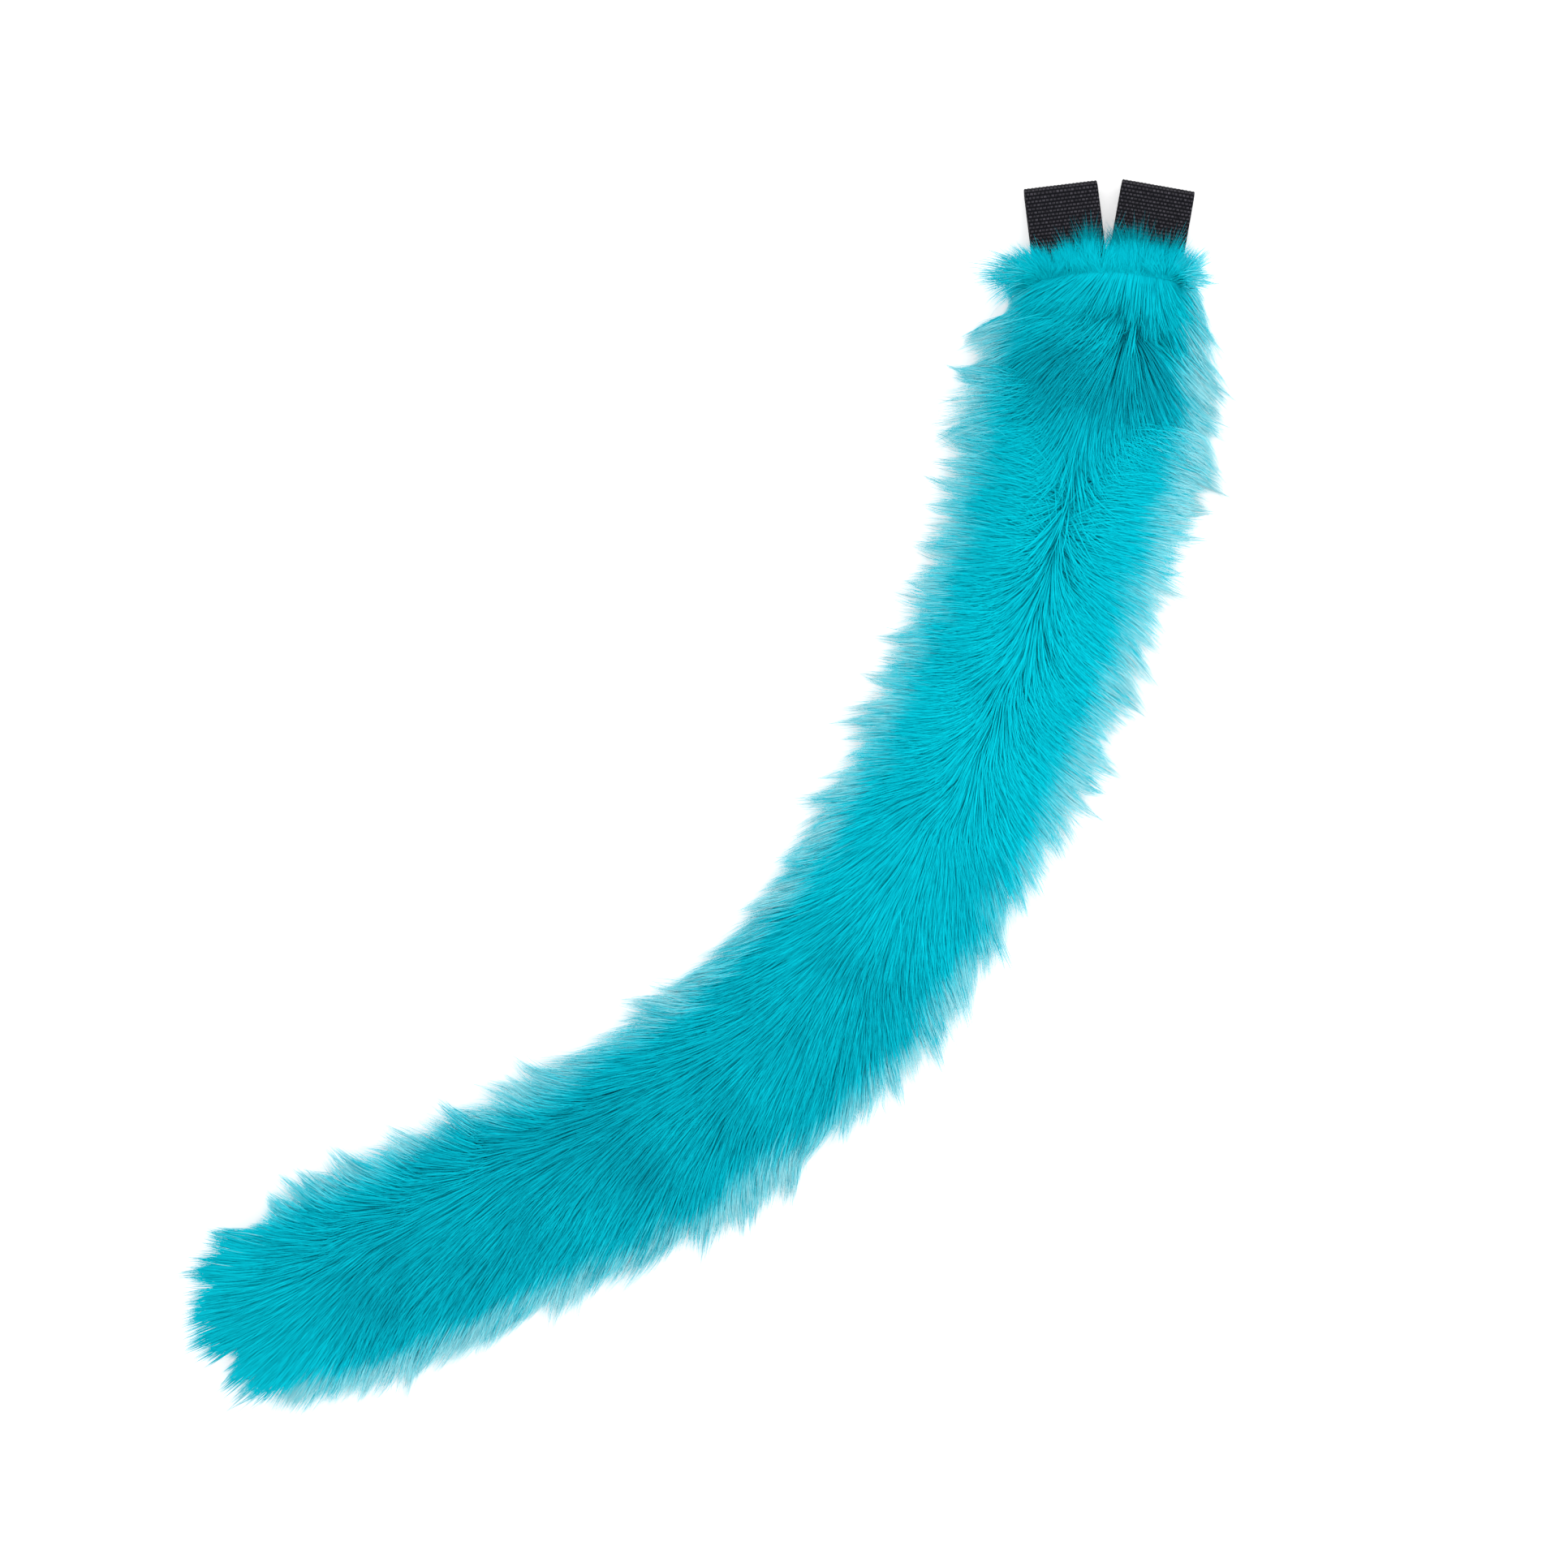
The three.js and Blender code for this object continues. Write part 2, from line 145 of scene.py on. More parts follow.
# The light dashes on the webbing's floats are a painted highlight
WEBBING_SHINE = (0.075, 0.070, 0.085)
TABLE_WHITE = 0.85
TABLE_GLOW = 0.4
LIGHT_FROM = (0.55, 0.3, 0.75)  # the brighter side of the white room
ROOM_DARKEST = 0.6
ROOM_BRIGHTEST = 1.45
CAMERA_HEIGHT = 2.5
CAMERA_OVER = (36.8 * MM, 3.6 * MM)
SENSOR_WIDTH = 36
FRAME_WIDTH = 679.3 * MM  # what the picture takes in at FRAMED_HEIGHT
FRAMED_HEIGHT = 12 * MM

# How the tail changes along its length. heading is the way it points, in degrees from +X.
# inner_width and outer_width are shares of half the sleeve's width, on the inside and outside of the curve.
# height and coat are shares of the sleeve's height and of the coat's reach.
# parting is where the hair parts, as a share of the coat's reach, positive to the outside of the curve.
# The leans are how far the hair turns from sideways towards the tip, in degrees,
# at its outer edge and beside the parting, on the inside and the outside of the curve.
# forward is how far hair at the parting itself points to the tip, mess how uneven the hair's direction is,
# pile its length and the last column how light it looks: painted light and shade along the tail.
COLUMNS = (
    "along heading inner_width outer_width height coat parting inner outer inner_root outer_root"
    " forward mess pile tone"
).split()
STATIONS = np.array(
    [
        (0.0, -100.0, 1.0, 1.0, 1.0, 0.98, 0.34, 44, 46, 70, 78, 0.9, 0.45, 0.84, 0.3),
        (0.03, -99.8, 1.0, 1.06, 1.0, 1.0, 0.32, 26, 32, 58, 62, 0.9, 0.65, 0.98, 0.2),
        (0.055, -99.6, 1.04, 1.14, 1.0, 1.06, 0.22, 14, 18, 42, 36, 0.9, 0.9, 1.06, 0.12),
        (0.09, -99.5, 1.0, 1.34, 1.0, 1.14, 0.1, 8, 12, 26, 16, 0.5, 0.9, 1.1, 0.28),
        (0.12, -100.8, 0.98, 1.24, 1.0, 1.1, -0.03, 6, 16, 8, 2, 0.2, 0.6, 0.99, 0.38),
        (0.175, -105.3, 0.92, 1.08, 1.0, 1.05, 0.0, 12, 6, 6, 2, 0.12, 0.45, 1.0, 0.48),
        (0.26, -111.0, 0.94, 1.02, 1.0, 1.02, 0.0, 20, 16, 14, 12, 0.14, 0.45, 0.99, 0.5),
        (0.36, -115.5, 0.97, 0.99, 1.0, 1.02, 0.0, 30, 28, 34, 30, 0.32, 0.4, 1.0, 0.46),
        (0.41, -118.9, 1.1, 1.02, 1.0, 1.01, -0.03, 38, 34, 55, 44, 0.7, 0.35, 1.03, 0.38),
        (0.47, -124.6, 1.04, 1.04, 1.0, 1.01, -0.09, 42, 42, 58, 52, 0.8, 0.4, 1.01, 0.3),
        (0.54, -132.5, 1.2, 1.08, 1.0, 1.0, -0.12, 46, 46, 62, 56, 0.8, 0.45, 1.02, 0.2),
        (0.61, -144.0, 1.12, 1.2, 1.0, 1.0, -0.15, 42, 46, 56, 56, 0.8, 0.45, 1.02, 0.14),
        (0.69, -150.2, 0.98, 1.14, 1.0, 1.0, -0.2, 30, 50, 40, 60, 0.8, 0.45, 1.02, 0.12),
        (0.745, -154.5, 0.92, 1.14, 1.0, 1.0, -0.24, 22, 52, 30, 62, 0.7, 0.45, 1.03, 0.12),
        (0.86, -156.0, 0.92, 1.2, 1.0, 1.0, -0.26, 12, 54, 22, 66, 0.7, 0.5, 1.02, 0.16),
        (0.9, -157.143, 0.874, 1.086, 0.9886, 0.9886, -0.19, 16, 52, 30, 64, 0.7, 0.5, 1.03, 0.24),
        (0.93, -158.0, 0.84, 1.0, 0.98, 0.98, -0.15, 36, 48, 48, 62, 0.7, 0.6, 1.08, 0.38),
        (0.97, -156.0, 0.7, 0.9, 0.94, 0.95, 0.05, 60, 46, 70, 66, 0.8, 0.5, 1.34, 0.46),
        (1.0, -155.0, 0.7, 0.8, 0.9, 0.95, 0.1, 60, 50, 80, 80, 0.8, 0.5, 1.38, 0.46),
    ]
)
# Tufts that fan out from the seam's two ends: how far each turns from straight up the tail, in degrees,
# and its length in millimetres
FAN = {
    "left": np.array([(28, 15), (52, 19), (78, 26), (92, 22), (114, 20)]),
    "right": np.array([(24, 13), (44, 17), (66, 11), (90, 15), (108, 8)]),
}
FAN_TURN = 112  # about the farthest that a tuft of FAN turns, in degrees
# Tufts that stand out from the outline: where each one's point lies, and how far round it hair is drawn in
TUFTS = [
    {"name": "seam_left", "x": 112.0 * MM, "y": 194.9 * MM, "reach": 16 * MM},
    {"name": "seam_left_second", "x": 110.6 * MM, "y": 183.1 * MM, "reach": 8 * MM},
    {"name": "shoulder_first", "x": 220.4 * MM, "y": 204.4 * MM, "reach": 8 * MM},
    {"name": "shoulder_upper", "x": 225.4 * MM, "y": 194.2 * MM, "reach": 9 * MM},
    {"name": "shoulder_beside", "x": 230.8 * MM, "y": 188.6 * MM, "reach": 11 * MM},
    {"name": "shoulder_middle", "x": 226.8 * MM, "y": 179.6 * MM, "reach": 8 * MM},
    {"name": "shoulder_lower", "x": 232.6 * MM, "y": 166.8 * MM, "reach": 7 * MM},
    {"name": "shoulder_longest", "x": 235.4 * MM, "y": 157.4 * MM, "reach": 9 * MM},
    {"name": "shoulder_last", "x": 227.4 * MM, "y": 145.0 * MM, "reach": 6 * MM},
    {"name": "bend_first", "x": 29.5 * MM, "y": -32.1 * MM, "reach": 9 * MM},
    {"name": "bend_second", "x": 22.0 * MM, "y": -43.7 * MM, "reach": 9 * MM},
    {"name": "bend_longest", "x": 12.0 * MM, "y": -53.6 * MM, "reach": 10 * MM},
    {"name": "end_upper", "x": -219.4 * MM, "y": -190.8 * MM, "reach": 13 * MM},
    {"name": "end_second", "x": -209.0 * MM, "y": -190.6 * MM, "reach": 8 * MM},
    {"name": "end_left", "x": -224.0 * MM, "y": -204.0 * MM, "reach": 11 * MM},
    {"name": "end_middle", "x": -225.0 * MM, "y": -223.8 * MM, "reach": 11 * MM},
    {"name": "end_point", "x": -229.6 * MM, "y": -236.4 * MM, "reach": 13 * MM},
    {"name": "end_lower", "x": -227.4 * MM, "y": -245.2 * MM, "reach": 12 * MM},
    {"name": "end_inside", "x": -215.6 * MM, "y": -252.6 * MM, "reach": 11 * MM},
    {"name": "under_first", "x": -212.4 * MM, "y": -263.2 * MM, "reach": 11 * MM},
    {"name": "under_second", "x": -198.4 * MM, "y": -267.2 * MM, "reach": 9 * MM},
    {"name": "under_longest", "x": -181.8 * MM, "y": -272.4 * MM, "reach": 9 * MM},
]
# Places where the outline steps back: no hair reaches into them
NOTCHES = [
    {"name": "below_fringe", "x": 128.5 * MM, "y": 211.5 * MM, "reach": 5.5 * MM},
    {"name": "below_seam_left", "x": 116.0 * MM, "y": 187.6 * MM, "reach": 3 * MM},
    {"name": "beside_seam_left", "x": 105.2 * MM, "y": 180.2 * MM, "reach": 4.6 * MM},
    {"name": "above_shoulder", "x": 226.0 * MM, "y": 210.5 * MM, "reach": 6.5 * MM},
    {"name": "below_shoulder", "x": 226.0 * MM, "y": 150.6 * MM, "reach": 2.5 * MM},
    {"name": "beside_end_upper", "x": -232.4 * MM, "y": -208.6 * MM, "reach": 6.4 * MM},
    {"name": "beside_end", "x": -231.5 * MM, "y": -219.5 * MM, "reach": 5 * MM},
    {"name": "end_corner", "x": -201.0 * MM, "y": -176.6 * MM, "reach": 13 * MM},
    {"name": "below_end", "x": -191.4 * MM, "y": -272.4 * MM, "reach": 4.5 * MM},
    {"name": "end_notch", "x": -208.6 * MM, "y": -252.6 * MM, "reach": 3.8 * MM},
    {"name": "end_notch_inside", "x": -203.6 * MM, "y": -245.6 * MM, "reach": 2.6 * MM},
]


def at(column, along):
    """One column of STATIONS at places along the tail."""
    return np.interp(along, STATIONS[:, 0], STATIONS[:, COLUMNS.index(column)])


def walk_curve():
    """The middle line's points, from the seam to the tip."""
    steps = 240
    heading = np.radians(at("heading", (np.arange(steps) + 0.5) / steps))
    step = np.stack([np.cos(heading), np.sin(heading)], axis=1) * CURVE_LENGTH / steps
    return np.concatenate([[SEAM_PLACE], np.array(SEAM_PLACE) + np.cumsum(step, axis=0)])


CURVE = walk_curve()


def smooth(low, high, x):
    t = np.clip((x - low) / (high - low), 0, 1)
    return t * t * (3 - 2 * t)


def curve_at(along):
    """Point, direction to the tip and direction to the outside of the curve, for places along the tail."""
    places = np.linspace(0, 1, len(CURVE))
    point = np.stack([np.interp(along, places, CURVE[:, k]) for k in range(2)], axis=1)
    beyond = along - np.clip(along, 0, 1)
    heading = np.radians(at("heading", along))
    ahead = np.stack([np.cos(heading), np.sin(heading)], axis=1)
    across = heading + np.radians(90 + SEAM_TURN * (1 - smooth(0, 0.1, along)))
    side = np.stack([np.cos(across), np.sin(across)], axis=1)
    return point + ahead * (beyond * CURVE_LENGTH)[:, None], ahead, side


# The sleeve's form


def sleeve_point(along, angle):
    """A point on the sewn sleeve. angle is in radians from the top, positive to the outside of the curve."""
    point, ahead, side = curve_at(along)
    open_ = smooth(0, 0.1, along)
    cap_start = SLEEVE_END - 0.055
    into_cap = np.clip(along - cap_start, 0, None) / (SLEEVE_END - cap_start)
    cap = np.sqrt(np.clip(1 - into_cap**2, 0.0004, 1))
    share = np.where(angle > 0, at("outer_width", along), at("inner_width", along))
    half_width = (SEAM_WIDTH * (1 - open_) + SLEEVE_WIDTH * share * open_) / 2 * cap
    top = SEAM_TOP * (1 - open_) + SLEEVE_TOP * at("height", along) * open_
    bottom = SEAM_BOTTOM * (1 - open_) + SLEEVE_BOTTOM * open_
    middle = (top + bottom) / 2
    half_height = (top - bottom) / 2 * cap
    across = half_width * np.sin(angle)
    height = middle + half_height * np.cos(angle)
    back = SEAM_ARCH * (1 - (across / (SEAM_WIDTH / 2)) ** 2) * (1 - smooth(0, 0.08, along))
    return np.column_stack([point + side * across[:, None] - ahead * back[:, None], height])


def unit(v):
    return v / np.maximum(np.linalg.norm(v, axis=-1, keepdims=True), 1e-12)


def sleeve_frame(along, angle):
    """Points on the sleeve with their outward normals and the area that a step of each parameter covers."""
    e = 1e-4
    place = sleeve_point(along, angle)
    further = sleeve_point(np.minimum(along + e, SLEEVE_END), angle)
    down_length = (further - sleeve_point(along - e, angle)) / (2 * e)
    around = (sleeve_point(along, angle + e) - sleeve_point(along, angle - e)) / (2 * e)
    cross = np.cross(around, down_length)
    area = np.linalg.norm(cross, axis=1)
    normal = cross / np.maximum(area, 1e-12)[:, None]
    point, _, _ = curve_at(along)
    middle_height = 14 * MM
    outward = np.sum(normal[:, :2] * (place[:, :2] - point), axis=1)
    outward = outward + normal[:, 2] * (place[:, 2] - middle_height)
    return place, normal * np.sign(outward)[:, None], area


def coat_height(along, across):
    """Height of the top of the fur at a distance from the middle line."""
    reach = COAT_REACH * at("coat", along)
    share = np.clip(np.abs(across) / reach, 0, 1)
    base = 0.45 + 0.55 * smooth(-0.01, 0.1, along)
    end = np.sqrt(np.clip(1 - np.clip((along - 0.9) / 0.14, 0, 1) ** 2, 0, 1))
    return COAT_TOP * base * end * np.sqrt(1 - share**2.4)


# The hair


def waves(along, across, scale, seed):
    """Slow unevenness over the coat, mostly between -1 and 1, with bumps about scale metres wide."""
    local = np.random.default_rng(seed)
    total = np.zeros_like(along)
    for _ in range(6):
        turn = local.uniform(0, 2 * math.pi)
        size = local.uniform(0.7, 1.4) * math.pi / scale
        along_wave = along * CURVE_LENGTH * math.cos(turn)
        across_wave = across * math.sin(turn)
        total += np.sin((along_wave + across_wave) * size + local.uniform(0, 2 * math.pi))
    return total / 2.5


def from_parting(along, across):
    """How far to the outside of the parting hair at a distance across the tail is."""
    parting = at("parting", along) * COAT_REACH * at("coat", along)
    return across - parting + PARTING_WANDER * waves(along, across, 0.02, 5)


def on_parting(along, angle):
    """1 where hair parts in the upper half of the tail, fading to 0 away from there."""
    offset = from_parting(along, np.sin(angle) * SLEEVE_WIDTH / 2)
    upper = smooth(0.09, 0.13, along) * (1 - smooth(0.4, 0.55, along))
    return upper * np.exp(-((offset / PARTING_WIDTH) ** 2))


def grow_roots(count):
    """Random places on the top and sides of the sleeve, as along and angle. They lie closer at the tip,
    on the parting and at the outer side of the seam, and sparser low on the sides."""
    along = rng.uniform(0.0, SLEEVE_END - 0.0005, count * 3)
    angle = np.radians(rng.uniform(-ROOTS_TO, ROOTS_TO, count * 3))
    _, _, area = sleeve_frame(along, angle)
    weight = area * (1 - 0.6 * smooth(math.radians(85), math.radians(110), np.abs(angle)))
    shoulder = smooth(math.radians(25), math.radians(50), angle) * (1 - smooth(0.05, 0.1, along))
    weight *= 1 + 1.6 * smooth(0.9, 0.955, along) + on_parting(along, angle) + 0.9 * shoulder
    keep = rng.uniform(0, 1, count * 3) < weight / np.quantile(weight, 0.98)
    return along[keep][:count], angle[keep][:count]


def lean_of(along, across, offset, outside):
    """How far hair leans from sideways towards the tip, in radians.
    outside is 0 on the inside of the curve and 1 on the outside."""
    reach = COAT_REACH * at("coat", along)
    at_edge = at("outer", along) * outside + at("inner", along) * (1 - outside)
    at_root = at("outer_root", along) * outside + at("inner_root", along) * (1 - outside)
    lean = np.radians(at_root + (at_edge - at_root) * smooth(0.1, 0.75, np.abs(offset) / reach))
    beside_seam = smooth(0.42, 0.6, across / reach) * (1 - smooth(0.05, 0.08, along))
    lean *= 1 - 0.55 * beside_seam
    mess = at("mess", along)
    uneven = 9 * waves(along, across, 0.04, 3) + (1 + 12 * mess**2) * waves(along, across, 0.016, 4)
    return lean + np.radians(uneven * (0.4 + mess) + (2.5 + 7 * mess) * rng.normal(0, 1, len(along)))


def spread_from_swirl(way, place, ahead):
    """Turns the hair below the swirl so that it spreads away from it."""
    spread = place[:, :2] - np.array(SWIRL_PLACE)
    away = np.linalg.norm(spread, axis=1)
    below = smooth(-2 * MM, 3 * MM, np.sum(spread * ahead, axis=1))
    drawn = SWIRL_STRENGTH * np.exp(-((away / SWIRL_REACH) ** 2)) * below
    return unit(way) * (1 - drawn)[:, None] + unit(spread) * drawn[:, None]


def comb(place, along, across, normal, ahead, side):
    """The level direction that each hair is combed in."""
    offset = from_parting(along, across)
    turned = offset / np.hypot(offset, PARTING_WIDTH * (0.3 + at("forward", along)))
    lean = lean_of(along, across, offset, 0.5 + 0.5 * turned)
    forward = np.sin(lean) + at("forward", along) * (1 - np.abs(turned))
    way = side * (turned * np.cos(lean))[:, None] + ahead * forward[:, None]
    way = spread_from_swirl(way, place, ahead)
    near_end = smooth(SLEEVE_END - 0.07, SLEEVE_END - 0.01, along)
    round_end = normal[:, :2] * np.where(offset > 0, 1.1, 0.5)[:, None] + 0.3 * ahead
    return unit(way * (1 - 0.7 * near_end)[:, None] + round_end * near_end[:, None])


def walk_hairs(along, angle, length, layer):
    """The paths of hairs, as hair, step, xyz. layer is 1 on top of the coat and 0 against the sleeve."""
    place, normal, _ = sleeve_frame(along, angle)
    point, ahead, side = curve_at(along)
    across = np.sum((place[:, :2] - point) * side, axis=1)
    way = comb(place, along, across, normal, ahead, side)
    cos_side = np.sum(way * side, axis=1)
    cos_ahead = np.sum(way * ahead, axis=1)
    step = (length / WALK_STEPS)[:, None]
    floor = TABLE_GAP + 1.5 * MM * layer
    lift = HAIR_LIFT - SEAM_LIFT_LOSS * (1 - smooth(0.005, 0.04, along))
    direction = unit(normal * lift[:, None] + np.column_stack([way, np.zeros(len(way))]) * 0.65)
    path = [place]
    here = place.copy()
    forward = np.zeros(len(way))
    for _ in range(WALK_STEPS):
        now = np.clip(along + forward / CURVE_LENGTH, 0, RUN_OUT)
        top = coat_height(now, across)
        soon = np.clip(now + cos_ahead * LOOK_AHEAD / CURVE_LENGTH, 0, RUN_OUT)
        slope = np.clip((coat_height(soon, across + cos_side * LOOK_AHEAD) - top) / LOOK_AHEAD, -1.6, 0.6)
        shell = top * (0.06 + 0.94 * layer)
        climb = np.clip(slope + (shell - here[:, 2]) / CLIMB_REACH, -1.5, 1.2)
        wanted = unit(np.column_stack([way, climb]))
        direction = unit(direction * 0.55 + wanted * 0.45)
        moved = direction * step
        here = here + moved
        here[:, 2] = np.maximum(here[:, 2], floor)
        across = across + np.sum(moved[:, :2] * side, axis=1)
        forward = forward + np.sum(moved[:, :2] * ahead, axis=1)
        path.append(here)
    return np.stack(path, axis=1)


def path_at(paths, share):
    """Points on paths at shares of their length, one row of shares for each path."""
    place = np.clip(share, 0, 1) * (paths.shape[1] - 1)
    low = np.minimum(place.astype(int), paths.shape[1] - 2)
    t = (place - low)[..., None]
    rows = np.arange(len(paths))[:, None]
    return paths[rows, low] * (1 - t) + paths[rows, low + 1] * t


def nearest(points, of):
    """Index of the nearest of some points for each point."""
    tree = KDTree(len(of))
    for i, p in enumerate(of):
        tree.insert(p, i)
    tree.balance()
    return np.array([tree.find(p)[1] for p in points])


def thin_out(points, pitch, order):
    """Indices of the points that come first in each cell of a grid, whose cells are pitch wide."""
    cells = {}
    for i in order:
        key = tuple(np.floor(points[i] / pitch).astype(int))
        if key not in cells:
            cells[key] = i
    return np.array(sorted(cells.values()))


def lay_out(along, angle):
    """Roots laid out flat for bunching. The sides are drawn in, so that a tuft there reaches from top
    to bottom, and where hair parts sharply the two sides of the parting are set far apart."""
    shoulder = math.radians(50)
    over = np.abs(angle) - np.minimum(np.abs(angle), shoulder)
    laid = np.sign(angle) * (np.minimum(np.abs(angle), shoulder) + 0.1 * over) * SLEEVE_WIDTH / 2
    offset = from_parting(along, np.sin(angle) * SLEEVE_WIDTH / 2)
    apart = np.sign(offset) * (at("forward", along) < SHARP_PARTING)
    return np.column_stack([along * CURVE_LENGTH, laid, apart])


def choose_tufts(along, angle):
    """The index of the middle hair of each hair's tuft, and of its wisp. Hair on the sides is taken first."""
    laid = lay_out(along, angle)
    order = rng.permutation(len(along))
    sideways = (np.abs(angle) > math.radians(58)) & (np.abs(angle) < math.radians(95))
    order = order[np.argsort(~sideways[order], kind="stable")]
    tufts = thin_out(laid, TUFT_PITCH, order)
    wisps = thin_out(laid, WISP_PITCH, order)
    jitter = rng.normal(0, TUFT_JITTER, laid.shape)
    return tufts[nearest(laid + jitter, laid[tufts])], wisps[nearest(laid + jitter * 0.5, laid[wisps])]


def coat_lengths(along, angle, at_side, tuft_of, wisp_of):
    """How long each hair is. Hair above the swirl ends where the coat falls open."""
    count = len(along)
    own = 1 + rng.uniform(-0.16, 0.19, count)[tuft_of] * at_side + 0.12 * at_side
    length = HAIR_LENGTH * at("pile", along) * rng.uniform(0.95, 1.05, count) * own
    off_middle = (np.degrees(angle) - SWIRL["angle"]) / SWIRL["spread"]
    opening = SWIRL["along"] + 0.005 * np.sin(3 * off_middle) + 0.009 * rng.normal(0, 1, count)[wisp_of]
    up_to_it = np.clip((opening - along) * CURVE_LENGTH * 1.12, 5 * MM, None)
    above = (1 - smooth(0.75, 1.1, np.abs(off_middle))) * (along < opening)
    return length + (np.minimum(length, up_to_it) - length) * above


def bunch(own, which, tuft_of, hold_tuft, t):
    """Points at shares t of some of the hairs, drawn towards the middle hair of their tufts."""
    bend = (hold_tuft[which][:, None] * t**1.5)[..., None]
    return path_at(own[which], t) * (1 - bend) + path_at(own[tuft_of[which]], t) * bend


def bunch_hairs(own, along, angle, at_side, tuft_of, wisp_of):
    """The hairs drawn together into tufts and wisps, tightly on the sides and loosely on top: their points,
    the share of its path that each point lies at, and the share that each hair reaches."""
    count = len(along)
    inner_side = (angle < 0) * (1 - smooth(0.4, 0.5, along))
    sleek = (0.55 + 0.45 * smooth(0.03, 0.06, along)) * (1 - 0.5 * inner_side)
    sleek *= 1 - 0.55 * smooth(0.1, 0.13, along) * (1 - smooth(0.35, 0.5, along))
    top_tuft = rng.uniform(0.0, 0.26, count)[tuft_of] * sleek
    side_tuft = rng.uniform(0.66, 0.98, count)[tuft_of]
    hold_tuft = top_tuft + (side_tuft - top_tuft) * at_side
    top_wisp = rng.uniform(0.0, 0.34, count)[wisp_of] * sleek * (1 - 0.5 * on_parting(along, angle))
    side_wisp = rng.uniform(0.4, 0.95, count)[wisp_of]
    hold_wisp = top_wisp + (side_wisp - top_wisp) * at_side
    short_top = 1 - 0.3 * rng.power(1.3, count)
    short_side = 0.56 + 0.44 * rng.uniform(0, 1, count) ** 2.4
    short = short_top + (short_side - short_top) * at_side
    t = np.linspace(0, 1, HAIR_STEPS + 1)[None, :] ** 1.15 * short[:, None]
    points = bunch(own, np.arange(count), tuft_of, hold_tuft, t)
    bend = (hold_wisp[:, None] * t**1.3)[..., None]
    return points * (1 - bend) + bunch(own, wisp_of, tuft_of, hold_tuft, t) * bend, t, short


def draw_tufts(points, own, t, short):
    """Draws the hairs round each of TUFTS together, to end at its point."""
    level = own[:, -1, :2]
    for tuft in TUFTS:
        point = np.array([tuft["x"], tuft["y"]])
        guide = np.argmin(np.linalg.norm(level - point, axis=1))
        near = np.linalg.norm(level - level[guide], axis=1) / tuft["reach"]
        close = np.linalg.norm(own[:, 0, :2] - own[guide, 0, :2], axis=1) < GUIDE_REACH
        mine = np.flatnonzero((near < 1) & close)
        core = 1 - near[mine] ** 2
        share = t[mine] * (1 + core * (rng.uniform(0.7, 1, len(mine)) / short[mine] - 1))[:, None]
        hold = core[:, None] * share**1.4
        path = path_at(np.repeat(own[guide][None], len(mine), axis=0), share)
        path[:, :, :2] += (point - level[guide]) * (share**1.2)[..., None]
        points[mine] = points[mine] * (1 - 0.85 * hold[..., None]) + path * 0.85 * hold[..., None]
    return points


def keep_clear(points):
    """Shortens the hairs that reach into one of NOTCHES."""
    shares = np.linspace(0, 1, 17)
    dense = path_at(points, np.tile(shares, (len(points), 1)))[:, :, :2]
    limit = np.ones(len(points))
    for notch in NOTCHES:
        inside = np.linalg.norm(dense - np.array([notch["x"], notch["y"]]), axis=2) < notch["reach"]
        enters = np.where(inside.any(axis=1), shares[inside.argmax(axis=1)], 2.0)
        limit = np.minimum(limit, np.maximum(enters * rng.uniform(0.85, 1.02, len(points)), 0.3))
    return path_at(points, np.linspace(0, 1, HAIR_STEPS + 1)[None, :] * limit[:, None])


def coat_tints(along, angle, tuft_of, wisp_of):
    """How light each hair is, from 0 to 1, with painted light and shade along the tail, at the seam and on
    the parting. It is darkest in the tangled hair below the swirl, where painted shade darkens it.
    """
    count = len(along)
    across = np.sin(angle) * SLEEVE_WIDTH / 2
    # painted light and shade along the tail, from the stations' last column, with uneven tint added
    tint = 0.1 + 0.8 * at("tone", along) + 0.05 * waves(along, across, 0.03, 6)
    tint += 0.04 * rng.normal(0, 1, count)[tuft_of] + 0.03 * rng.normal(0, 1, count)[wisp_of]
    # painted light: hair rooted just below the seam is tinted lighter, a light line along the crease
    tint += 0.04 * rng.normal(0, 1, count) + 0.1 * (1 - smooth(0.003, 0.014, along))
    # painted light on the parting, against the shade between the hair that parts there
    tint += 0.09 * on_parting(along, angle)
    # painted shade: hair in the tangle below the swirl is darkened
    down = (along - TANGLE["along"]) / TANGLE["half_length"]
    from_tangle = np.hypot(down, (across - TANGLE["across"]) / TANGLE["half_width"])
    tint -= 0.25 * (1 - smooth(0.4, 1.0, from_tangle)) * rng.uniform(0, 1, count)[wisp_of]
    return np.clip(tint, 0.02, 0.98)


def coat_paling(along, angle, points, tuft_of, wisp_of):
    """How surely each hair ends at the outline, from 0 to 1, and how much it is painted pale there as painted
    light of thin tips lit through from behind, from 0 to 2.
    """
    count = len(along)
    middle, _, side = curve_at(along)
    edge = np.sum((points[:, -1, :2] - middle) * side, axis=1) / (COAT_REACH * at("coat", along))
    uneven = 0.06 * rng.normal(0, 1, count)[tuft_of]
    reaching = smooth(PALE_FROM - 0.05, PALE_FROM + 0.05, np.abs(edge) + uneven)
    strength = rng.uniform(0, 1, count)[wisp_of] + 0.25 * rng.normal(0, 1, count)
    pales_well = strength > np.where(angle > 0, 0.4, 0.55)
    return reaching, reaching * np.where(pales_well, 2, np.where(strength > 0.15, 1, 0))


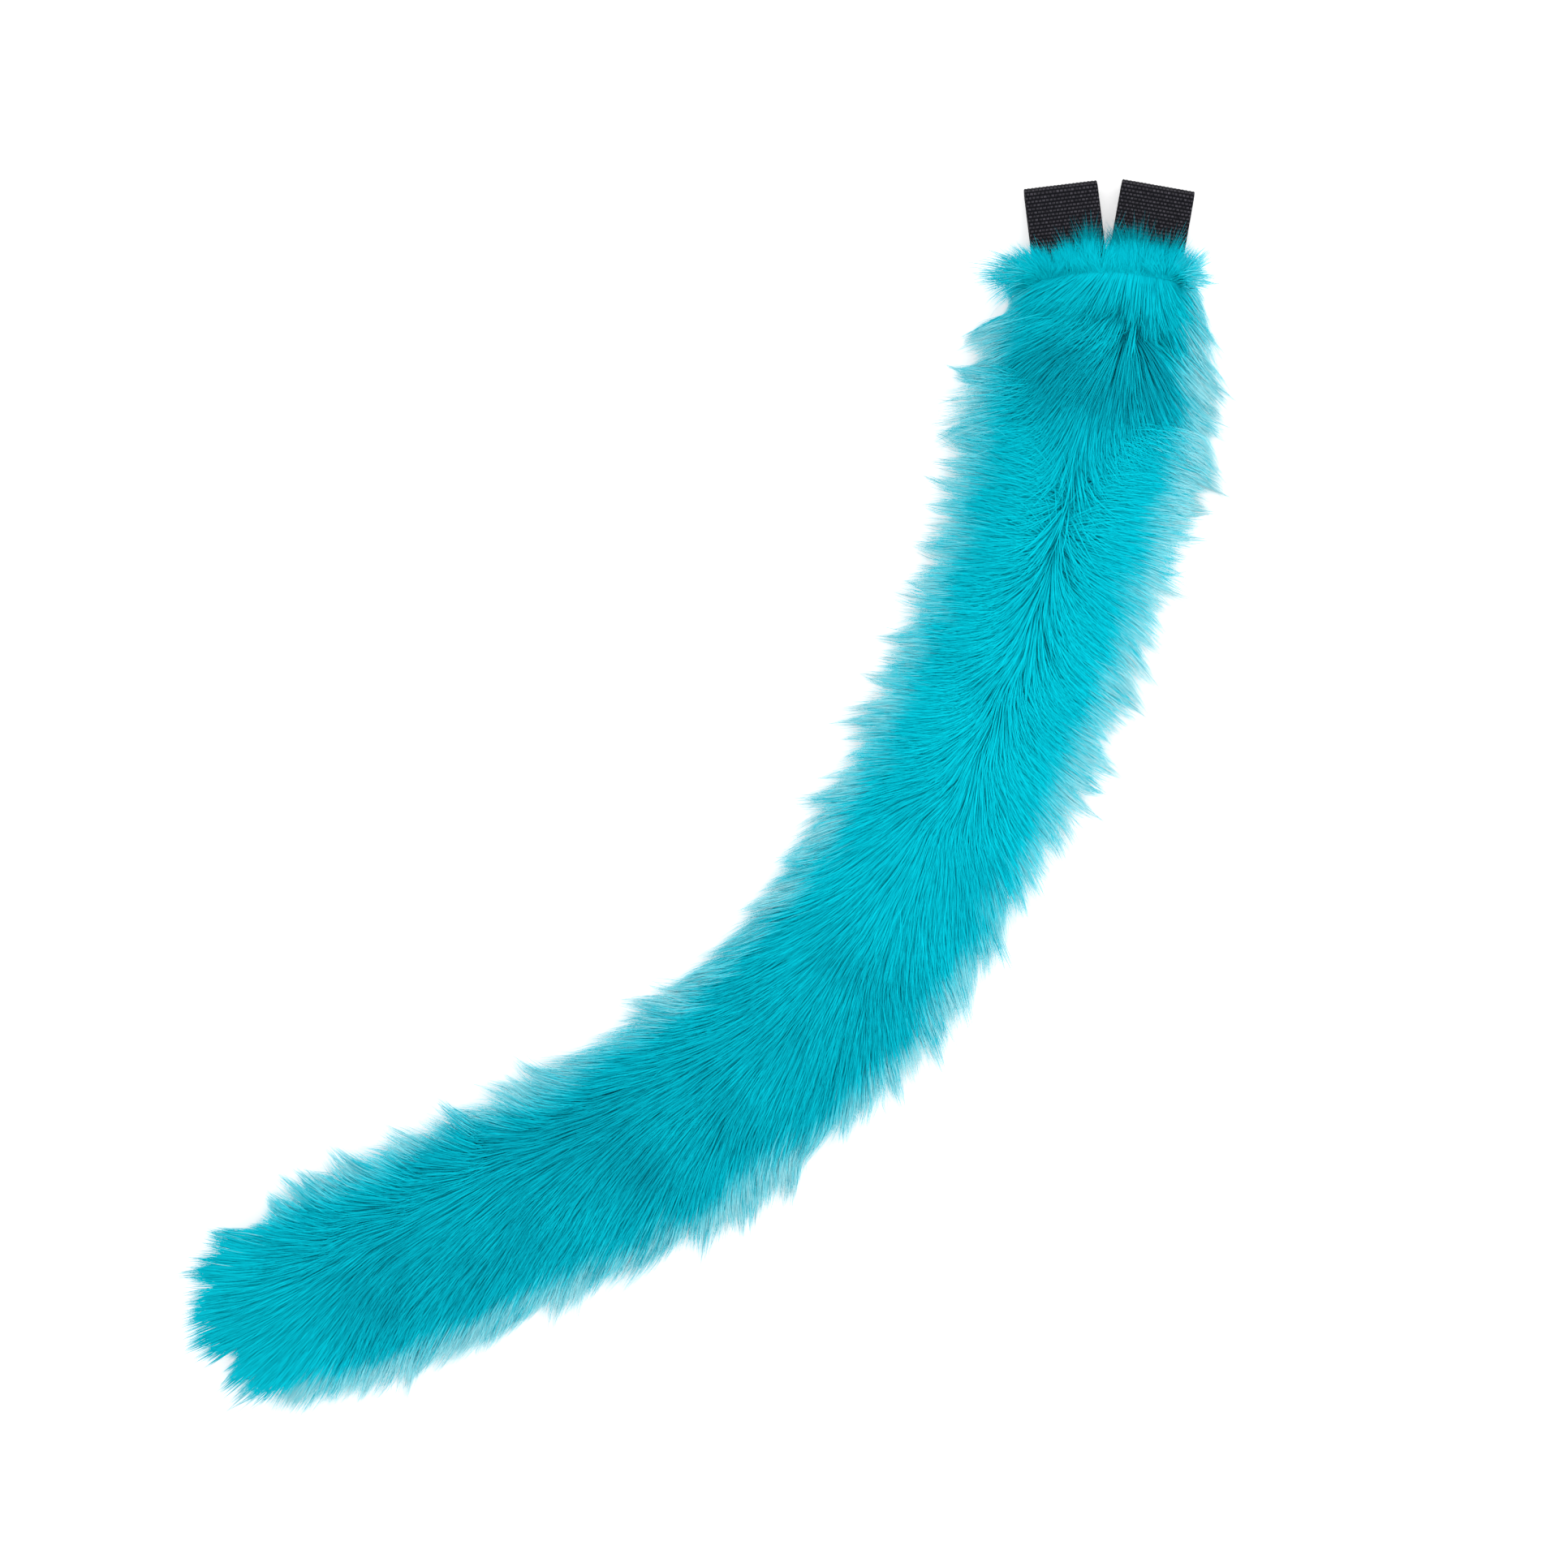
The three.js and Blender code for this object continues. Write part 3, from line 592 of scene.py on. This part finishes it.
def make_coat():
    """The hairs of the coat: each one's place along the tail, points, tint, paleness and width."""
    along, angle = grow_roots(HAIRS)
    count = len(along)
    tuft_of, wisp_of = choose_tufts(along, angle)
    at_side = smooth(math.radians(SIDES[0]), math.radians(SIDES[1]), np.abs(angle))
    length = coat_lengths(along, angle, at_side, tuft_of, wisp_of)
    low = np.abs(np.degrees(angle)) / ROOTS_TO
    layer = np.clip(1 - 0.95 * low**1.5 + rng.normal(0, 0.06, count), 0.0, 1.05)
    own = walk_hairs(along, angle, length, layer)
    points, t, short = bunch_hairs(own, along, angle, at_side, tuft_of, wisp_of)
    points = draw_tufts(points, own, t, short)
    stray = rng.normal(0, 1, (count, 1, 3)) * (rng.uniform(0, 1, count) ** 8 * STRAY_REACH)[:, None, None]
    points = keep_clear(points + stray * (t**2)[..., None])
    tint = coat_tints(along, angle, tuft_of, wisp_of)
    reaching, pale = coat_paling(along, angle, points, tuft_of, wisp_of)
    width = HAIR_WIDTH * rng.uniform(0.75, 1.2, count) * (1.15 - 0.2 * at_side - 0.35 * reaching)
    return along, points, tint, pale, width


def make_fringe():
    """The hairs along the seam, which stand up from it over the belt loops and fan out at its ends."""
    count = FRINGE_HAIRS
    half = SEAM_WIDTH / 2
    across = rng.uniform(-1, 1, count)
    tufts = np.sort(rng.uniform(-1.05, 1.05, FRINGE_TUFTS))
    tuft = np.argmin(np.abs(across[:, None] + rng.normal(0, 0.03, (count, 1)) - tufts[None, :]), axis=1)
    at_end = smooth(0.6, 0.98, np.abs(across))
    left_end = across < 0
    lock = rng.integers(0, len(FAN["left"]), count)
    turn_to, lock_length = np.where(left_end[:, None], FAN["left"][lock], FAN["right"][lock]).T
    round_end = at_end * (turn_to + 5 * rng.normal(0, 1, count))
    swing = np.radians(8 * across + np.sign(across) * round_end)
    swing += np.radians(20) * rng.normal(0, 1, len(tufts))[tuft] * (1 - at_end)
    swing += np.radians(11) * rng.normal(0, 1, count) * (1 - at_end)
    tall = rng.choice([0.5, 0.62, 0.8, 1.02], len(tufts), p=[0.4, 0.3, 0.17, 0.13])[tuft]
    tall = tall + (lock_length * MM / FRINGE_LENGTH * 1.1 - tall) * at_end
    reach = FRINGE_LENGTH * tall * (1 - 0.5 * rng.power(1.1, count))
    reach *= 1 + 0.35 * rng.uniform(0, 1, count) ** 7
    start, _, side = curve_at(np.zeros(count))
    back = np.column_stack([-side[:, 1], side[:, 0]])
    arch = SEAM_ARCH * (1 - across**2) - rng.uniform(-0.5, 2.6, count) * MM
    arch -= rng.uniform(0, 5, count) * MM * smooth(0.86, 0.97, np.abs(across)) * np.abs(round_end) / FAN_TURN
    root = start + side * (across * half)[:, None] + back * arch[:, None]
    t = np.linspace(0, 1, HAIR_STEPS + 1)[None, :]
    turn = swing[:, None] * (0.75 + 0.35 * t)
    way = back[:, None, :] * np.cos(turn)[..., None] + side[:, None, :] * np.sin(turn)[..., None]
    moves = way[:, 1:] * (reach / HAIR_STEPS)[:, None, None]
    level = np.concatenate([np.zeros((count, 1, 2)), np.cumsum(moves, axis=1)], axis=1)
    drawn = ((tufts[tuft] - across) * half)[:, None] * 0.75 * t**1.6 * (1 - 0.8 * at_end[:, None])
    level += side[:, None, :] * drawn[..., None]
    clear_of_loops = smooth(0.92, 1.08, np.abs(across))
    start_height = SEAM_TOP * (1 - 0.5 * clear_of_loops) * rng.uniform(0.85, 1.05, count)
    on_loops = LOOP_TOP + rng.uniform(0.6, 3.5, count) * MM
    lands = on_loops * (1 - clear_of_loops) + 3.5 * MM * clear_of_loops
    hump = rng.uniform(0.5, 3.5, count) * MM
    height = start_height[:, None] * (1 - t) + lands[:, None] * t + hump[:, None] * 4 * t * (1 - t)
    lowest = (LOOP_TOP + 0.5 * MM) * (1 - clear_of_loops)[:, None] * smooth(0.15, 0.35, t)
    points = np.concatenate([root[:, None] + level, np.maximum(height, lowest)[..., None]], axis=2)
    # painted light: the fringe's hair is tinted lighter than the coat beside it, against the shade it stands
    # in
    tint = 0.58 + 0.04 * rng.normal(0, 1, len(tufts))[tuft] + 0.06 * rng.normal(0, 1, count)
    # painted light: fringe hair past the loops pales at its tips, more at the right end
    past_loops = smooth(0.9, 1.0, np.abs(across) + 0.012 * np.abs(np.degrees(swing)) * at_end)
    pale = past_loops * np.where(rng.uniform(0, 1, count) < np.where(left_end, 0.35, 0.6), 1, 2 * ~left_end)
    width = HAIR_WIDTH * rng.uniform(0.25, 0.5, count) * (1 + 0.5 * at_end)
    return np.full(count, FRINGE_MARK), points, np.clip(tint, 0.02, 0.98), pale, width


def ribbon_core(along, points):
    """Where along the tail each point lies, no further than CORE_END, and the middle line's points there."""
    start_at = np.clip(along, -0.1, CORE_END)
    _, ahead, _ = curve_at(along)
    start, _, _ = curve_at(start_at)
    forward = np.sum((points[:, :, :2] - start[:, None]) * ahead[:, None], axis=2) / CURVE_LENGTH
    core = np.clip(start_at[:, None] + forward, -0.1, CORE_END)
    middle, _, _ = curve_at(core.ravel())
    return core, middle.reshape(*core.shape, 2)


def ribbon_directions(points, core, middle):
    """The direction across each ribbon at its points, and normals that light it as part of the round coat."""
    tangent = unit(np.gradient(points, axis=1))
    depth = CORE_HEIGHT + SEAM_CORE_DROP * (1 - smooth(0, 0.12, core))
    rise = points[:, :, 2] - depth
    out = unit(np.concatenate([points[:, :, :2] - middle, rise[..., None]], axis=2))
    face = out + rng.normal(0, 0.2, (len(points), 1, 3))
    across = unit(np.cross(tangent, face))
    return across, unit(np.cross(across, tangent) * OWN_SIDE + out)


def hair_map(along, points, tint, pale, core, middle):
    """Each point's place on the hair's texture map: across it by the hair's tint, and up it from root to tip,
    with the roots low on the map for their painted shade.
    Hair of the fringe darkens where it thins over the webbing, and pale hair pales towards the outline:
    painted light of thin tips lit through from behind."""
    bands = {name: start + width * tint for name, (start, width) in MAP_BANDS.items()}
    u = np.select([pale > 1.5, pale > 0.5], [bands["pale"], bands["half_pale"]], bands["coat"])
    share = np.linspace(0, 1, points.shape[1])[None, :]
    # painted shade: roots sit low on the map and are darker, as the shade deep between hairs; just below the
    # seam they are kept light along the crease
    root_v = (0.13 + 0.54 * (1 - smooth(0.004, 0.02, along)))[:, None]
    v = root_v + (0.99 - root_v) * share
    away = np.linalg.norm(points[:, :, :2] - middle, axis=2)
    away /= COAT_REACH * at("coat", core)
    so_far = np.linalg.norm(points[:, :, :2] - points[:, :1, :2], axis=2)
    thins = smooth(5 * MM, 13 * MM, so_far) * (1 - smooth(0.55, 0.7, away))
    v = np.where(along[:, None] < 0, 0.78 - 0.08 * share - 0.69 * thins, v)
    # painted light: pale hair pales towards the outline and towards its tips
    away += 0.05 * rng.normal(0, 1, (len(points), 1))
    paling = 0.14 + 0.2 * share + 0.64 * smooth(PALE_FROM - 0.14, PALE_FROM + 0.16, away)
    return np.broadcast_to(u[:, None], v.shape), np.where(pale[:, None] > 0.5, paling, v)


def ribbon_corners(left, right, tip):
    """Values at the corners of ribbons: left and right in turn from the root, and one at the tip."""
    count, rows = left.shape[:2]
    corners = np.empty((count, 2 * rows - 1, *left.shape[2:]))
    corners[:, 0:-1:2] = left[:, :-1]
    corners[:, 1::2] = right[:, :-1]
    corners[:, -1] = tip
    return corners


def ribbon_faces(count, rows):
    """The corners that the faces of ribbons use, and how many each face has: four, or three at the tip."""
    quads = rows - 2
    first = np.arange(count)[:, None] * (2 * rows - 1)
    k = np.arange(quads)[None, :] * 2
    quad = np.stack([first + k, first + k + 1, first + k + 3, first + k + 2], axis=2).reshape(count, -1)
    last = 2 * quads
    tri = np.stack([first + last, first + last + 1, first + last + 2], axis=2).reshape(count, -1)
    return np.concatenate([quad, tri], axis=1).ravel(), np.tile([4] * quads + [3], count)


def ribbon_mesh(name, along, points, tint, pale, width):
    """A piece of fur: one flat tapering ribbon for each hair."""
    core, middle = ribbon_core(along, points)
    across, normal = ribbon_directions(points, core, middle)
    share = np.linspace(0, 1, points.shape[1])
    taper = (1 - HAIR_TAPER * share**1.7)[None, :] * width[:, None]
    aside = across * taper[..., None] / 2
    verts = ribbon_corners(points - aside, points + aside, points[:, -1])
    verts[:, :, 2] = np.clip(verts[:, :, 2], TABLE_GAP, FUR_TOP)
    normals = ribbon_corners(normal, normal, normal[:, -1])
    u, v = hair_map(along, points, tint, pale, core, middle)
    vert_u = ribbon_corners(u - MAP_HAIR, u + MAP_HAIR, u[:, -1])
    vert_v = ribbon_corners(v, v, v[:, -1])
    used, sizes = ribbon_faces(*points.shape[:2])

    mesh = bpy.data.meshes.new(name)
    mesh.vertices.add(verts.shape[0] * verts.shape[1])
    mesh.vertices.foreach_set("co", verts.ravel().astype(np.float32))
    mesh.loops.add(len(used))
    mesh.loops.foreach_set("vertex_index", used.astype(np.int32))
    starts = np.concatenate([[0], np.cumsum(sizes)[:-1]])
    mesh.polygons.add(len(sizes))
    mesh.polygons.foreach_set("loop_start", starts.astype(np.int32))
    mesh.polygons.foreach_set("loop_total", sizes.astype(np.int32))
    mesh.polygons.foreach_set("use_smooth", np.ones(len(sizes), dtype=bool))
    layer = mesh.uv_layers.new(name="OFBake")
    uv = np.column_stack([vert_u.ravel()[used], vert_v.ravel()[used]])
    layer.data.foreach_set("uv", uv.ravel().astype(np.float32))
    mesh.update(calc_edges=True)
    mesh.normals_split_custom_set_from_vertices(normals.reshape(-1, 3))
    obj = bpy.data.objects.new(name, mesh)
    bpy.context.scene.collection.objects.link(obj)
    mesh.materials.append(FUR)
    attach(obj, "root")
    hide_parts("fur_tail")


# Materials


def link(tree, a, b):
    tree.links.new(a, b)


def plain_material(name, roughness, specular):
    material = bpy.data.materials.new(name)
    material.use_nodes = True
    tree = material.node_tree
    shader = tree.nodes["Principled BSDF"]
    shader.inputs["Roughness"].default_value = roughness
    shader.inputs["Specular IOR Level"].default_value = specular
    return material, tree, shader


def grey(value):
    return (value, value, value)


def ramp(tree, stops):
    node = tree.nodes.new("ShaderNodeValToRGB")
    while len(node.color_ramp.elements) > 1:
        node.color_ramp.elements.remove(node.color_ramp.elements[-1])
    for i, (place, colour) in enumerate(stops):
        element = node.color_ramp.elements[0] if i == 0 else node.color_ramp.elements.new(place)
        element.position = place
        element.color = (*colour, 1)
    return node


def mix(tree, blend, factor, a, b):
    node = tree.nodes.new("ShaderNodeMix")
    node.data_type = "RGBA"
    node.blend_type = blend
    for socket, value in ((node.inputs["Factor"], factor), (node.inputs["A"], a), (node.inputs["B"], b)):
        if isinstance(value, bpy.types.NodeSocket):
            link(tree, value, socket)
        elif isinstance(value, tuple):
            socket.default_value = (*value, 1)
        else:
            socket.default_value = value
    return node.outputs["Result"]


def fur_material():
    """Turquoise acrylic hair, coloured by its texture map: tint across the map, with painted light and shade
    in it, and from root to tip up it, with painted shade at the roots.
    Hair in the two bands of pale hair turns pale towards its tip, a little and wholly: painted light of thin
    tips lit through from behind."""
    material, tree, shader = plain_material("turquoise_hair", 0.8, 0.03)
    uv = tree.nodes.new("ShaderNodeUVMap")
    uv.uv_map = "OFBake"
    parts = tree.nodes.new("ShaderNodeSeparateXYZ")
    link(tree, uv.outputs["UV"], parts.inputs["Vector"])
    tint_stops = [
        (0.0, HAIR_DARK),
        (0.3, HAIR_MIDDLE),
        (0.7, HAIR_LIGHT),
        (0.72, HAIR_MIDDLE),
        (0.84, HAIR_LIGHT),
        (0.86, HAIR_MIDDLE),
        (1.0, HAIR_LIGHT),
    ]
    tint = ramp(tree, tint_stops)
    link(tree, parts.outputs["X"], tint.inputs["Fac"])
    # painted shade: the hair darkens towards its roots
    shade_stops = [
        (0.0, (0.30, 0.33, 0.35)),
        (0.13, (0.84, 0.87, 0.89)),
        (0.35, (0.96, 0.97, 0.98)),
        (0.7, grey(1)),
    ]
    shade = ramp(tree, shade_stops)
    link(tree, parts.outputs["Y"], shade.inputs["Fac"])
    shaded = mix(tree, "MULTIPLY", 1.0, tint.outputs["Color"], shade.outputs["Color"])
    # painted light: the pale bands turn pale towards the tip
    paling_stops = [
        (0.0, grey(0)),
        (0.71, grey(0)),
        (0.72, grey(0.4)),
        (0.85, grey(0.4)),
        (0.86, grey(1)),
        (1.0, grey(1)),
    ]
    paling = ramp(tree, paling_stops)
    link(tree, parts.outputs["X"], paling.inputs["Fac"])
    to_tip = ramp(tree, [(0.0, grey(0)), (0.25, grey(0)), (0.75, grey(0.7)), (1.0, grey(1))])
    link(tree, parts.outputs["Y"], to_tip.inputs["Fac"])
    pale = mix(tree, "MULTIPLY", 1.0, paling.outputs["Color"], to_tip.outputs["Color"])
    colour = mix(tree, "MIX", pale, shaded, HAIR_PALE)
    link(tree, colour, shader.inputs["Base Color"])
    return material


def webbing_material():
    """Black polypropylene webbing, with a painted dull highlight on each float of its weave."""
    material, tree, shader = plain_material("black_webbing", 0.55, 0.05)
    uv = tree.nodes.new("ShaderNodeUVMap")
    uv.uv_map = "OFBake"
    scale = tree.nodes.new("ShaderNodeMapping")
    scale.inputs["Scale"].default_value = (RIBS * WEB_AROUND / WEB_FACE, WEB_ROWS * FLOAT_SHAPE, 1)
    link(tree, uv.outputs["UV"], scale.inputs["Vector"])
    floats = tree.nodes.new("ShaderNodeTexBrick")
    floats.offset = 0.5
    floats.inputs["Scale"].default_value = 1
    floats.inputs["Brick Width"].default_value = 1
    floats.inputs["Row Height"].default_value = FLOAT_SHAPE
    floats.inputs["Mortar Size"].default_value = 0.195
    floats.inputs["Mortar Smooth"].default_value = 0.6
    link(tree, scale.outputs["Vector"], floats.inputs["Vector"])
    threads = tree.nodes.new("ShaderNodeTexNoise")
    threads.inputs["Scale"].default_value = 1.2
    threads.inputs["Detail"].default_value = 3
    link(tree, scale.outputs["Vector"], threads.inputs["Vector"])
    # painted highlight: the floats turn from dull to shining by a noise
    shine = ramp(tree, [(0.3, WEBBING_DULL), (0.7, WEBBING_SHINE)])
    link(tree, threads.outputs["Fac"], shine.inputs["Fac"])
    colour = mix(tree, "MIX", floats.outputs["Fac"], shine.outputs["Color"], WEBBING_GROUND)
    link(tree, colour, shader.inputs["Base Color"])
    bump = tree.nodes.new("ShaderNodeBump")
    bump.invert = True
    bump.inputs["Strength"].default_value = 0.5
    bump.inputs["Distance"].default_value = 0.0003
    link(tree, floats.outputs["Fac"], bump.inputs["Height"])
    link(tree, bump.outputs["Normal"], shader.inputs["Normal"])
    return material


def backing_material():
    """The knitted backing of the fur fabric."""
    material, tree, shader = plain_material("turquoise_backing", 0.9, 0.1)
    coordinates = tree.nodes.new("ShaderNodeTexCoord")
    knit = tree.nodes.new("ShaderNodeTexVoronoi")
    knit.inputs["Scale"].default_value = 700
    link(tree, coordinates.outputs["Object"], knit.inputs["Vector"])
    colour = ramp(tree, [(0.0, (0.02, 0.66, 0.78)), (1.0, (0.0, 0.52, 0.64))])
    link(tree, knit.outputs["Distance"], colour.inputs["Fac"])
    link(tree, colour.outputs["Color"], shader.inputs["Base Color"])
    bump = tree.nodes.new("ShaderNodeBump")
    bump.inputs["Strength"].default_value = 0.4
    bump.inputs["Distance"].default_value = 0.0003
    link(tree, knit.outputs["Distance"], bump.inputs["Height"])
    link(tree, bump.outputs["Normal"], shader.inputs["Normal"])
    return material


def mesh_object(name, bm, material):
    mesh = bpy.data.meshes.new(name)
    bm.to_mesh(mesh)
    bm.free()
    mesh.polygons.foreach_set("use_smooth", [True] * len(mesh.polygons))
    mesh.materials.append(material)
    obj = bpy.data.objects.new(name, mesh)
    bpy.context.scene.collection.objects.link(obj)
    return obj


# The sewn sleeve


def make_sleeve():
    """The sewn sleeve that the hair grows from."""
    around, rings = 32, 90
    bm = bmesh.new()
    bmesh.ops.create_grid(bm, x_segments=around, y_segments=rings, size=0.5)
    along = np.array([(v.co.y + 0.5) * SLEEVE_END for v in bm.verts])
    angle = np.array([(v.co.x + 0.5) * 2 * math.pi for v in bm.verts])
    for vert, place in zip(bm.verts, sleeve_point(along, angle)):
        vert.co = place
    bmesh.ops.remove_doubles(bm, verts=bm.verts, dist=1e-6)
    bmesh.ops.holes_fill(bm, edges=[e for e in bm.edges if e.is_boundary], sides=0)
    bmesh.ops.recalc_face_normals(bm, faces=bm.faces)
    sleeve = mesh_object("fur_sleeve", bm, BACKING)
    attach(sleeve, "root")
    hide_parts("fur_tail")


# The webbing


def loop_path(s):
    """The middle of the webbing's thickness at shares of its length: y from the seam to the fold
    and z through the loop. Gives its points, its normals and the whole length."""
    radius = BELT_GAP / 2 + WEBBING_THICKNESS / 2
    fold = LOOP_LENGTH - BELT_GAP / 2 - WEBBING_THICKNESS
    ends = WEBBING_THICKNESS / 2
    bend = [(fold + radius * math.sin(a), radius * math.cos(a)) for a in np.linspace(0, math.pi, 25)]
    opening = (LOOP_MOUTH * 0.45, (ends + radius) * 0.55)
    lips = [(-TAB_LENGTH, ends), (0.5 * MM, ends), opening, (LOOP_MOUTH, radius)]
    corners = np.array(lips + bend + [(y, -z) for y, z in reversed(lips)])
    length = np.concatenate([[0], np.cumsum(np.hypot(*np.diff(corners, axis=0).T))])

    def at_share(share):
        return np.array([np.interp(share * length[-1], length, corners[:, k]) for k in range(2)]).T

    run = unit(at_share(s + 0.004) - at_share(s - 0.004))
    return at_share(s), np.column_stack([-run[:, 1], run[:, 0]]), length[-1]


WEB_ROWS = round(loop_path(np.array([0.0]))[2] / ROW_PITCH)


def webbing_section(u):
    """The webbing's section: x across it and depth from the middle of its thickness.
    u runs over the outer side, round the right edge, over the inner side and round the left edge."""
    on_face = u <= WEB_FACE
    right = ~on_face & (u < WEB_FACE + WEB_EDGE)
    left = u > WEB_FACE + WEB_EDGE + WEB_BACK
    thick = WEBBING_THICKNESS / 2
    flat = WEBBING_WIDTH / 2 - thick * EDGE_ROUNDING
    turn = np.where(right, u - WEB_FACE, u - (WEB_AROUND - WEB_EDGE)) / WEB_EDGE * math.pi
    over_face = (2 * u / WEB_FACE - 1) * flat
    over_back = (1 - 2 * (u - WEB_FACE - WEB_EDGE) / WEB_BACK) * flat
    x = np.where(on_face, over_face, over_back)
    x = np.where(right, flat + EDGE_ROUNDING * thick * np.sin(turn), x)
    x = np.where(left, -flat - EDGE_ROUNDING * thick * np.sin(turn), x)
    depth = np.where(on_face, thick, -thick)
    depth = np.where(right, thick * np.cos(turn), depth)
    depth = np.where(left, -thick * np.cos(turn), depth)
    return x, depth


def make_webbing(name, node, offset, splay):
    """One webbing strip, folded once, with its woven floats raised on the outer side."""
    bm = bmesh.new()
    bm.loops.layers.uv.new("OFBake")
    bmesh.ops.create_grid(bm, x_segments=WEB_AROUND, y_segments=WEB_ROWS * 4, size=0.5, calc_uvs=True)
    u = np.array([v.co.x + 0.5 for v in bm.verts]) * WEB_AROUND
    s = np.array([v.co.y + 0.5 for v in bm.verts])
    x, depth = webbing_section(u)
    row = s * WEB_ROWS
    phase = u / WEB_FACE * RIBS + 0.5 * (1 - np.floor(row) % 2)
    raised = np.abs(np.sin(math.pi * phase)) ** 0.7 * np.abs(np.sin(math.pi * row)) ** 0.8
    depth = depth - np.where(u <= WEB_FACE, RIB_RELIEF * (1 - raised), 0)
    place, normal, _ = loop_path(s)
    local = np.column_stack([x, place + depth[:, None] * normal])
    turned = Matrix.Rotation(math.radians(splay), 3, "Z")
    origin = Vector((SEAM_PLACE[0] + offset, SEAM_PLACE[1], LOOP_TOP / 2))
    for vert, co in zip(bm.verts, local):
        vert.co = turned @ Vector(co) + origin
    bmesh.ops.remove_doubles(bm, verts=bm.verts, dist=1e-6)
    bmesh.ops.holes_fill(bm, edges=[e for e in bm.edges if e.is_boundary], sides=0)
    bmesh.ops.recalc_face_normals(bm, faces=bm.faces)
    webbing = mesh_object(name, bm, WEBBING)
    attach(webbing, "root")
    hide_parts(node)


FUR = fur_material()
WEBBING = webbing_material()
BACKING = backing_material()
make_sleeve()
for loop in LOOPS:
    make_webbing(**loop)

ribbon_mesh("fur_fringe", *make_fringe())
# The coat, in pieces from the seam to the tip with the same number of hairs each
coat = make_coat()
limits = np.quantile(coat[0], np.linspace(0, 1, len(COAT_PIECES) + 1))
which = np.clip(np.searchsorted(limits, coat[0], side="right") - 1, 0, len(COAT_PIECES) - 1)
for k, name in enumerate(COAT_PIECES):
    ribbon_mesh(name, *[part[which == k] for part in coat])


# Light, floor and camera


def make_stage():
    """A white table that glows a little, as in a catalogue picture, in a white room brighter to the right."""
    bm = bmesh.new()
    bmesh.ops.create_grid(bm, x_segments=1, y_segments=1, size=6)
    material, _, shader = plain_material("white_table", 0.9, 0.0)
    shader.inputs["Base Color"].default_value = (*grey(TABLE_WHITE), 1)
    shader.inputs["Emission Color"].default_value = (1, 1, 1, 1)
    shader.inputs["Emission Strength"].default_value = TABLE_GLOW
    floor = mesh_object("floor", bm, material)

    world = bpy.data.worlds.new("studio")
    bpy.context.scene.world = world
    world.use_nodes = True
    world.cycles.sampling_method = "NONE"
    tree = world.node_tree
    background = tree.nodes["Background"]
    background.inputs["Color"].default_value = (1, 1, 1, 1)
    direction = tree.nodes.new("ShaderNodeTexCoord")
    towards = tree.nodes.new("ShaderNodeVectorMath")
    towards.operation = "DOT_PRODUCT"
    towards.inputs[1].default_value = Vector(LIGHT_FROM).normalized()
    link(tree, direction.outputs["Generated"], towards.inputs[0])
    strength = tree.nodes.new("ShaderNodeMapRange")
    strength.inputs["From Min"].default_value = -1
    strength.inputs["To Min"].default_value = ROOM_DARKEST
    strength.inputs["To Max"].default_value = ROOM_BRIGHTEST
    link(tree, towards.outputs["Value"], strength.inputs["Value"])
    link(tree, strength.outputs["Result"], background.inputs["Strength"])


def make_camera():
    """Straight above, framed as the photograph, with the tail left of its middle."""
    camera = bpy.data.cameras.new("camera")
    camera.sensor_width = SENSOR_WIDTH
    camera.lens = SENSOR_WIDTH * (CAMERA_HEIGHT - FRAMED_HEIGHT) / FRAME_WIDTH
    camera.clip_end = 50
    holder = bpy.data.objects.new("camera", camera)
    bpy.context.scene.collection.objects.link(holder)
    holder.location = (*CAMERA_OVER, CAMERA_HEIGHT)
    bpy.context.scene.camera = holder


make_stage()
make_camera()
bpy.context.scene.view_settings.view_transform = "Standard"
